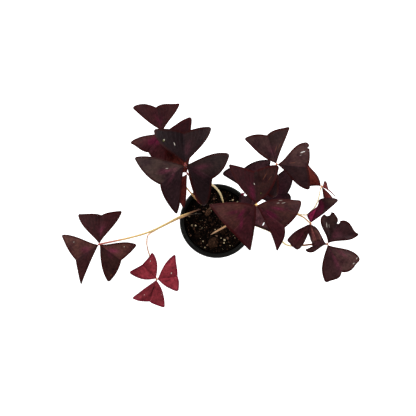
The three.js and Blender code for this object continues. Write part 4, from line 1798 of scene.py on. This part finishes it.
@dataclass
class Soil:
    """The cake of bark mix: a lumpy surface with chips, crumbs and beads of perlite on it.

    Attributes:
        inner_radius: Radius of the cake's top.
        floor: Height of its underside.
        floor_radius: Radius of its underside.
        top: Height of its surface without the lumps.
        rings: Rings of faces on the surface.
        steps: Steps of the turned shape.
        reach: How far from the axis a grain lies.
        grain_widths: The smallest and largest width of a grain, over its length.
        beads: The large perlite beads, as X, Y and radius.
        bead_widths: Their smallest and largest width, over their length.
        small_beads: Number of small ones.
        small_radii: The smallest and largest radius of those.
        bead_reach: How far from the axis those lie.
        nuggets: The large pieces of bark, as middle, half sizes and shade.
    """

    inner_radius: float = 45.0
    floor: float = 1.9
    floor_radius: float = 34.4
    top: float = 79.6
    rings: int = 42
    steps: int = 132
    reach: float = 43.6
    grain_widths: tuple[float, float] = (0.45, 0.85)
    beads: tuple[Point, ...] = (
        (-34.1, -5.7, 1.5), (-29.2, -6.4, 1.5), (22.6, 28.9, 1.7), (28.9, 26.1, 1.2), (-7.8, 13.7, 1.1),
        (10.9, -26.4, 1.6), (10.2, -30.6, 1.4), (6.0, -23.7, 1.1), (-18.8, -27.8, 1.2), (-16.1, -36.8, 1.1),
        (-28.5, 10.2, 0.9), (5.6, 9.8, 0.8), (-2.0, -12.0, 0.9), (-38.0, 6.0, 0.9), (18.5, -34.0, 1.0),
    )
    bead_widths: tuple[float, float] = (0.7, 0.95)
    small_beads: int = 60
    small_radii: tuple[float, float] = (0.25, 0.5)
    bead_reach: float = 42.0
    nuggets: tuple[tuple[Point, Point, float], ...] = (
        ((-5.0, -30.6, 81.0), (7.6, 7.0, 1.9), 0.62), ((-11.5, 12.4, 81.0), (6.4, 3.6, 1.3), 0.78),
        ((8.0, -14.0, 80.8), (5.0, 3.4, 1.6), 0.5), ((-27.0, -20.0, 80.8), (5.4, 3.8, 1.8), 0.42),
        ((-22.0, 30.0, 80.8), (5.0, 3.0, 1.5), 0.45),
    )

    LUMPS = ((0.09, 3.0, 1.1), (0.32, 9.0, 0.75), (1.1, 5.0, 0.45))
    GRAIN_TILT = 0.35
    GRAIN_ROUGHNESS = 0.35
    LENGTH_POWER = 2.2
    GRAIN_CREASE = math.radians(30)
    GRAIN_LIFT, BEAD_LIFT, SMALL_BEAD_LIFT = 0.5, 0.9, 0.5
    BEAD_FLATNESS = 0.75
    TINT_SPREAD, TINT_PITCH = 0.9, 0.4
    NUGGET_RINGS, NUGGET_RING_RISE = 2.6, 0.12
    NUGGET_PITCH, NUGGET_ROUGHNESS, NUGGET_SHADING = 0.45, 1.1, 0.25

    def _level(self, x: float, y: float) -> float:
        """Height of the soil's surface at a place in plan."""
        lumps = (noise.noise(Vector((x * fine, y * fine, layer))) * rise for fine, layer, rise in self.LUMPS)
        return sum(lumps, self.top)

    def build_cake(self) -> Piece:
        """Spin the cake and raise its lumps.

        Returns:
            The finished piece.
        """
        surface = [(self.inner_radius * ring / self.rings, self.top) for ring in range(self.rings + 1)]
        side = [(self.inner_radius - 0.4, self.top - 3), (self.floor_radius, self.floor), (0, self.floor)]
        body = spun_solid([*surface, *side], self.steps)
        layer = body.verts.layers.float.new("tint")
        for vertex in body.verts:
            if vertex.co.z > self.top - 1:
                vertex.co.z = self._level(vertex.co.x, vertex.co.y)
            vertex[layer] = 0.5 + self.TINT_SPREAD * noise.noise(vertex.co * self.TINT_PITCH)
        return Piece("soil_cake", body, MATERIALS[PEAT], "bark_mix", ("soil",), crease=math.pi)

    def _scatter(self, body: bmesh.types.BMesh, spot: Point, sizes: Point, draw: random.Random,
                 tint: float) -> None:
        """Add one rough grain.

        Args:
            body: What it is added to.
            spot: Its middle.
            sizes: Half its length, width and thickness.
            draw: Where chance comes from.
            tint: Its shade.
        """
        layer = body.verts.layers.float["tint"]
        heading = Matrix.Rotation(draw.uniform(0, FULL_TURN), 4, "Z")
        tip, roll = (Matrix.Rotation(draw.gauss(0, self.GRAIN_TILT), 4, axis) for axis in "XY")
        lay = Matrix.Translation(spot) @ heading @ (tip @ roll) @ Matrix.Diagonal((*sizes, 1))
        made = bmesh.ops.create_icosphere(body, subdivisions=1, radius=1, matrix=lay)["verts"]
        rough = min(sizes) * self.GRAIN_ROUGHNESS
        for vertex in made:
            vertex.co += Vector([draw.uniform(-1, 1) for _ in range(3)]) * rough
            vertex[layer] = tint

    def build_grains(self, name: str, count: int, span: tuple[float, float], flatness: float,
                     shade_power: float) -> Piece:
        """Scatter grains of bark over the soil.

        Args:
            name: The piece's name.
            count: How many there are.
            span: The smallest and largest half length.
            flatness: Thickness over width.
            shade_power: How rare the pale ones are.

        Returns:
            The finished piece.
        """
        draw = random.Random(name)
        body = bmesh.new()
        body.verts.layers.float.new("tint")
        for _ in range(count):
            long = span[0] + (span[1] - span[0]) * draw.random() ** self.LENGTH_POWER
            wide = long * draw.uniform(*self.grain_widths)
            x, y = self._place(self.reach - long, draw)
            z = self._level(x, y) + wide * flatness * self.GRAIN_LIFT
            self._scatter(body, (x, y, z), (long, wide, wide * flatness), draw, draw.random() ** shade_power)
        return Piece(name, body, MATERIALS[BARK], "bark_mix", crease=self.GRAIN_CREASE)

    @staticmethod
    def _place(reach: float, draw: random.Random) -> tuple[float, float]:
        """A random place in plan, all of them equally likely.

        Args:
            reach: How far from the axis it may lie.
            draw: Where chance comes from.

        Returns:
            Its X and Y.
        """
        distance = reach * math.sqrt(draw.random())
        angle = draw.uniform(0, FULL_TURN)
        return distance * math.cos(angle), distance * math.sin(angle)

    def build_beads(self) -> Piece:
        """Set the beads of perlite where they lie.

        Returns:
            The finished piece.
        """
        draw = random.Random("beads")
        body = bmesh.new()
        body.verts.layers.float.new("tint")
        for x, y, radius in self.beads:
            sizes = (radius, radius * draw.uniform(*self.bead_widths), radius * self.BEAD_FLATNESS)
            spot = (x, y, self._level(x, y) + radius * self.BEAD_LIFT)
            self._scatter(body, spot, sizes, draw, draw.random())
        for _ in range(self.small_beads):
            x, y = self._place(self.bead_reach, draw)
            radius = draw.uniform(*self.small_radii)
            spot = (x, y, self._level(x, y) + self.SMALL_BEAD_LIFT)
            self._scatter(body, spot, (radius,) * 3, draw, draw.random())
        return Piece("perlite_beads", body, MATERIALS[PERLITE], "bark_mix", crease=self.GRAIN_CREASE)

    def build_nuggets(self) -> Piece:
        """Make the large pieces of bark, with growth rings on them.

        Returns:
            The finished piece.
        """
        body = bmesh.new()
        layer = body.verts.layers.float.new("tint")
        for spot, sizes, tint in self.nuggets:
            middle = Vector(spot)
            lay = Matrix.Translation(spot) @ Matrix.Rotation(spot[0], 4, "Z") @ Matrix.Diagonal((*sizes, 1))
            for vertex in bmesh.ops.create_icosphere(body, subdivisions=4, radius=1, matrix=lay)["verts"]:
                offset = vertex.co - middle
                ring = math.sin(offset.xy.length * self.NUGGET_RINGS) * self.NUGGET_RING_RISE
                rough = noise.fractal(vertex.co * self.NUGGET_PITCH, 1.0, 2.0, 4)
                vertex.co += offset.normalized() * rough * self.NUGGET_ROUGHNESS
                vertex.co.z += ring
                vertex[layer] = tint + self.NUGGET_SHADING * rough
        return Piece("bark_nuggets", body, MATERIALS[BARK], "bark_mix", crease=math.pi)


# ---------------------------------------------------------------- studio


@dataclass(frozen=True)
class FloorFinish:
    """A plain pale floor that glows a little, so that it stays white under soft light.

    Attributes:
        name: The material's name.
        paint: Its colour.
        worn: The colour of its slightly paler places.
        glow: How much it glows.
    """

    name: str = "pale_floor"
    paint: RGB = (206, 206, 206)
    worn: RGB = (212, 212, 212)
    glow: float = 1.7

    def material(self) -> bpy.types.Material:
        """Build the floor's paint.

        Returns:
            The material.
        """
        shader = Shader(self.name)
        paint = shader.mix(shader.noise(2.0, 2.0), self.paint, self.worn)
        return shader.finish(Base_Color=paint, Roughness=0.9, Specular_IOR_Level=0.1,
                             Emission_Color=linear(self.paint), Emission_Strength=self.glow)


@dataclass
class Studio:
    """The floor, the soft lights and the camera that looks straight down on the plant.

    Attributes:
        image_width: Width of the picture in pixels.
        focal_pixels: The camera's focal length in pixels.
        sensor: Width of its sensor.
        eye: The camera's place.
        floor_radius: Radius of the floor.
        horizon: Brightness of the sky at the horizon.
        zenith: Its brightness overhead.
        sky_fade: Heights between which it changes, as parts of a sphere's radius.
        softbox: Place of the right one of two softboxes, in metres.
        softbox_size: Its side, in metres.
        softbox_power: Its power, in watts.
        aim: What both point at, in metres.
    """

    image_width: int = 416
    focal_pixels: float = 846.1
    sensor: float = 36.0
    eye: Point = (-11.93, 17.82, 1250.0)
    floor_radius: float = 6000.0
    horizon: float = 0.75
    zenith: float = 0.3
    sky_fade: tuple[float, float] = (0.05, 0.85)
    softbox: Point = (1.15, 0.55, 0.85)
    softbox_size: float = 0.9
    softbox_power: float = 20.0
    aim: Point = (0.0, 0.0, 0.12)

    def build_camera(self) -> None:
        """Place the camera and make it the scene's own."""
        lens = bpy.data.cameras.new("camera")
        lens.sensor_width = self.sensor
        lens.lens = self.focal_pixels * self.sensor / self.image_width
        camera = bpy.data.objects.new("camera", lens)
        camera.location = Vector(self.eye) * MM
        bpy.context.scene.collection.objects.link(camera)
        bpy.context.scene.camera = camera

    def build_floor(self) -> None:
        """Lay the floor."""
        body = bmesh.new()
        bmesh.ops.create_circle(body, cap_ends=True, segments=96, radius=self.floor_radius * MM)
        floor = new_object("floor", body)
        body.free()
        floor.data.materials.append(MATERIALS[FloorFinish()])

    def build_softbox(self, name: str, side: int) -> None:
        """Hang one square soft light that faces the plant.

        Args:
            name: The light's name.
            side: +1 for the right one, -1 for the left one.
        """
        light = bpy.data.lights.new(name, "AREA")
        light.size = self.softbox_size
        light.energy = self.softbox_power
        lamp = bpy.data.objects.new(name, light)
        x, y, z = self.softbox
        lamp.location = (side * x, y, z)
        lamp.rotation_mode = "QUATERNION"
        lamp.rotation_quaternion = (Vector(self.aim) - lamp.location).to_track_quat("-Z", "Y")
        bpy.context.scene.collection.objects.link(lamp)

    def build_sky(self) -> None:
        """Light everything softly from all round, brighter at the horizon than overhead."""
        world = bpy.data.worlds.new("studio")
        world.use_nodes = True
        nodes, links = world.node_tree.nodes, world.node_tree.links
        nodes.clear()
        split = nodes.new("ShaderNodeSeparateXYZ")
        links.new(nodes.new("ShaderNodeTexCoord").outputs["Generated"], split.inputs[0])
        fade = nodes.new("ShaderNodeMapRange")
        fade.interpolation_type = "SMOOTHSTEP"
        for socket, value in zip(fade.inputs[1:5], (*self.sky_fade, self.horizon, self.zenith)):
            socket.default_value = value
        links.new(split.outputs[2], fade.inputs[0])
        background = nodes.new("ShaderNodeBackground")
        links.new(fade.outputs[0], background.inputs["Strength"])
        output = nodes.new("ShaderNodeOutputWorld")
        links.new(background.outputs[0], output.inputs[0])
        bpy.context.scene.world = world

    def build(self) -> None:
        """Build the whole studio."""
        self.build_camera()
        self.build_floor()
        self.build_sky()
        self.build_softbox("left", -1)
        self.build_softbox("right", 1)
        bpy.context.scene.view_settings.view_transform = "Standard"


class Materials(dict):
    """Each finish's material, built the first time it is asked for."""

    def __missing__(self, finish: Any) -> bpy.types.Material:
        """Build and keep a finish's material."""
        self[finish] = finish.material()
        return self[finish]


MATERIALS = Materials()


class Plant:
    """The leaves and the pot of soil that they grow in."""

    def build_leaf(self, letter: str, leaf: Leaf) -> None:
        """Build one petiole and its three leaflets.

        Args:
            letter: The leaf's letter.
            leaf: Its sizes.
        """
        Petiole(letter, leaf, STEM_FINISHES[letter]).build().place()
        for number, blade in enumerate(leaf.blades, start=1):
            name = f"{letter}{number}"
            character = CHARACTERS.get(name, Character())
            Leaflet(name, leaf.knob, blade, LEAF_FINISHES[letter], character).build().place()

    def build_pot(self) -> None:
        """Build the pot and everything in it."""
        soil = Soil()
        Pot().build().place()
        soil.build_cake().place()
        soil.build_nuggets().place()
        soil.build_grains(
            "bark_chips", count=460, span=(0.9, 3.0), flatness=0.55, shade_power=2.0).place()
        soil.build_grains(
            "bark_crumbs", count=2600, span=(0.3, 1.0), flatness=0.8, shade_power=1.5).place()
        soil.build_beads().place()

    def build(self) -> None:
        """Build the whole plant."""
        for letter, leaf in LEAVES.items():
            self.build_leaf(letter, leaf)
        self.build_pot()


def main() -> None:
    """Build the studio and the plant."""
    logging.basicConfig(level=logging.INFO, format="%(message)s")
    Studio().build()
    Plant().build()


if __name__ == "__main__":
    main()
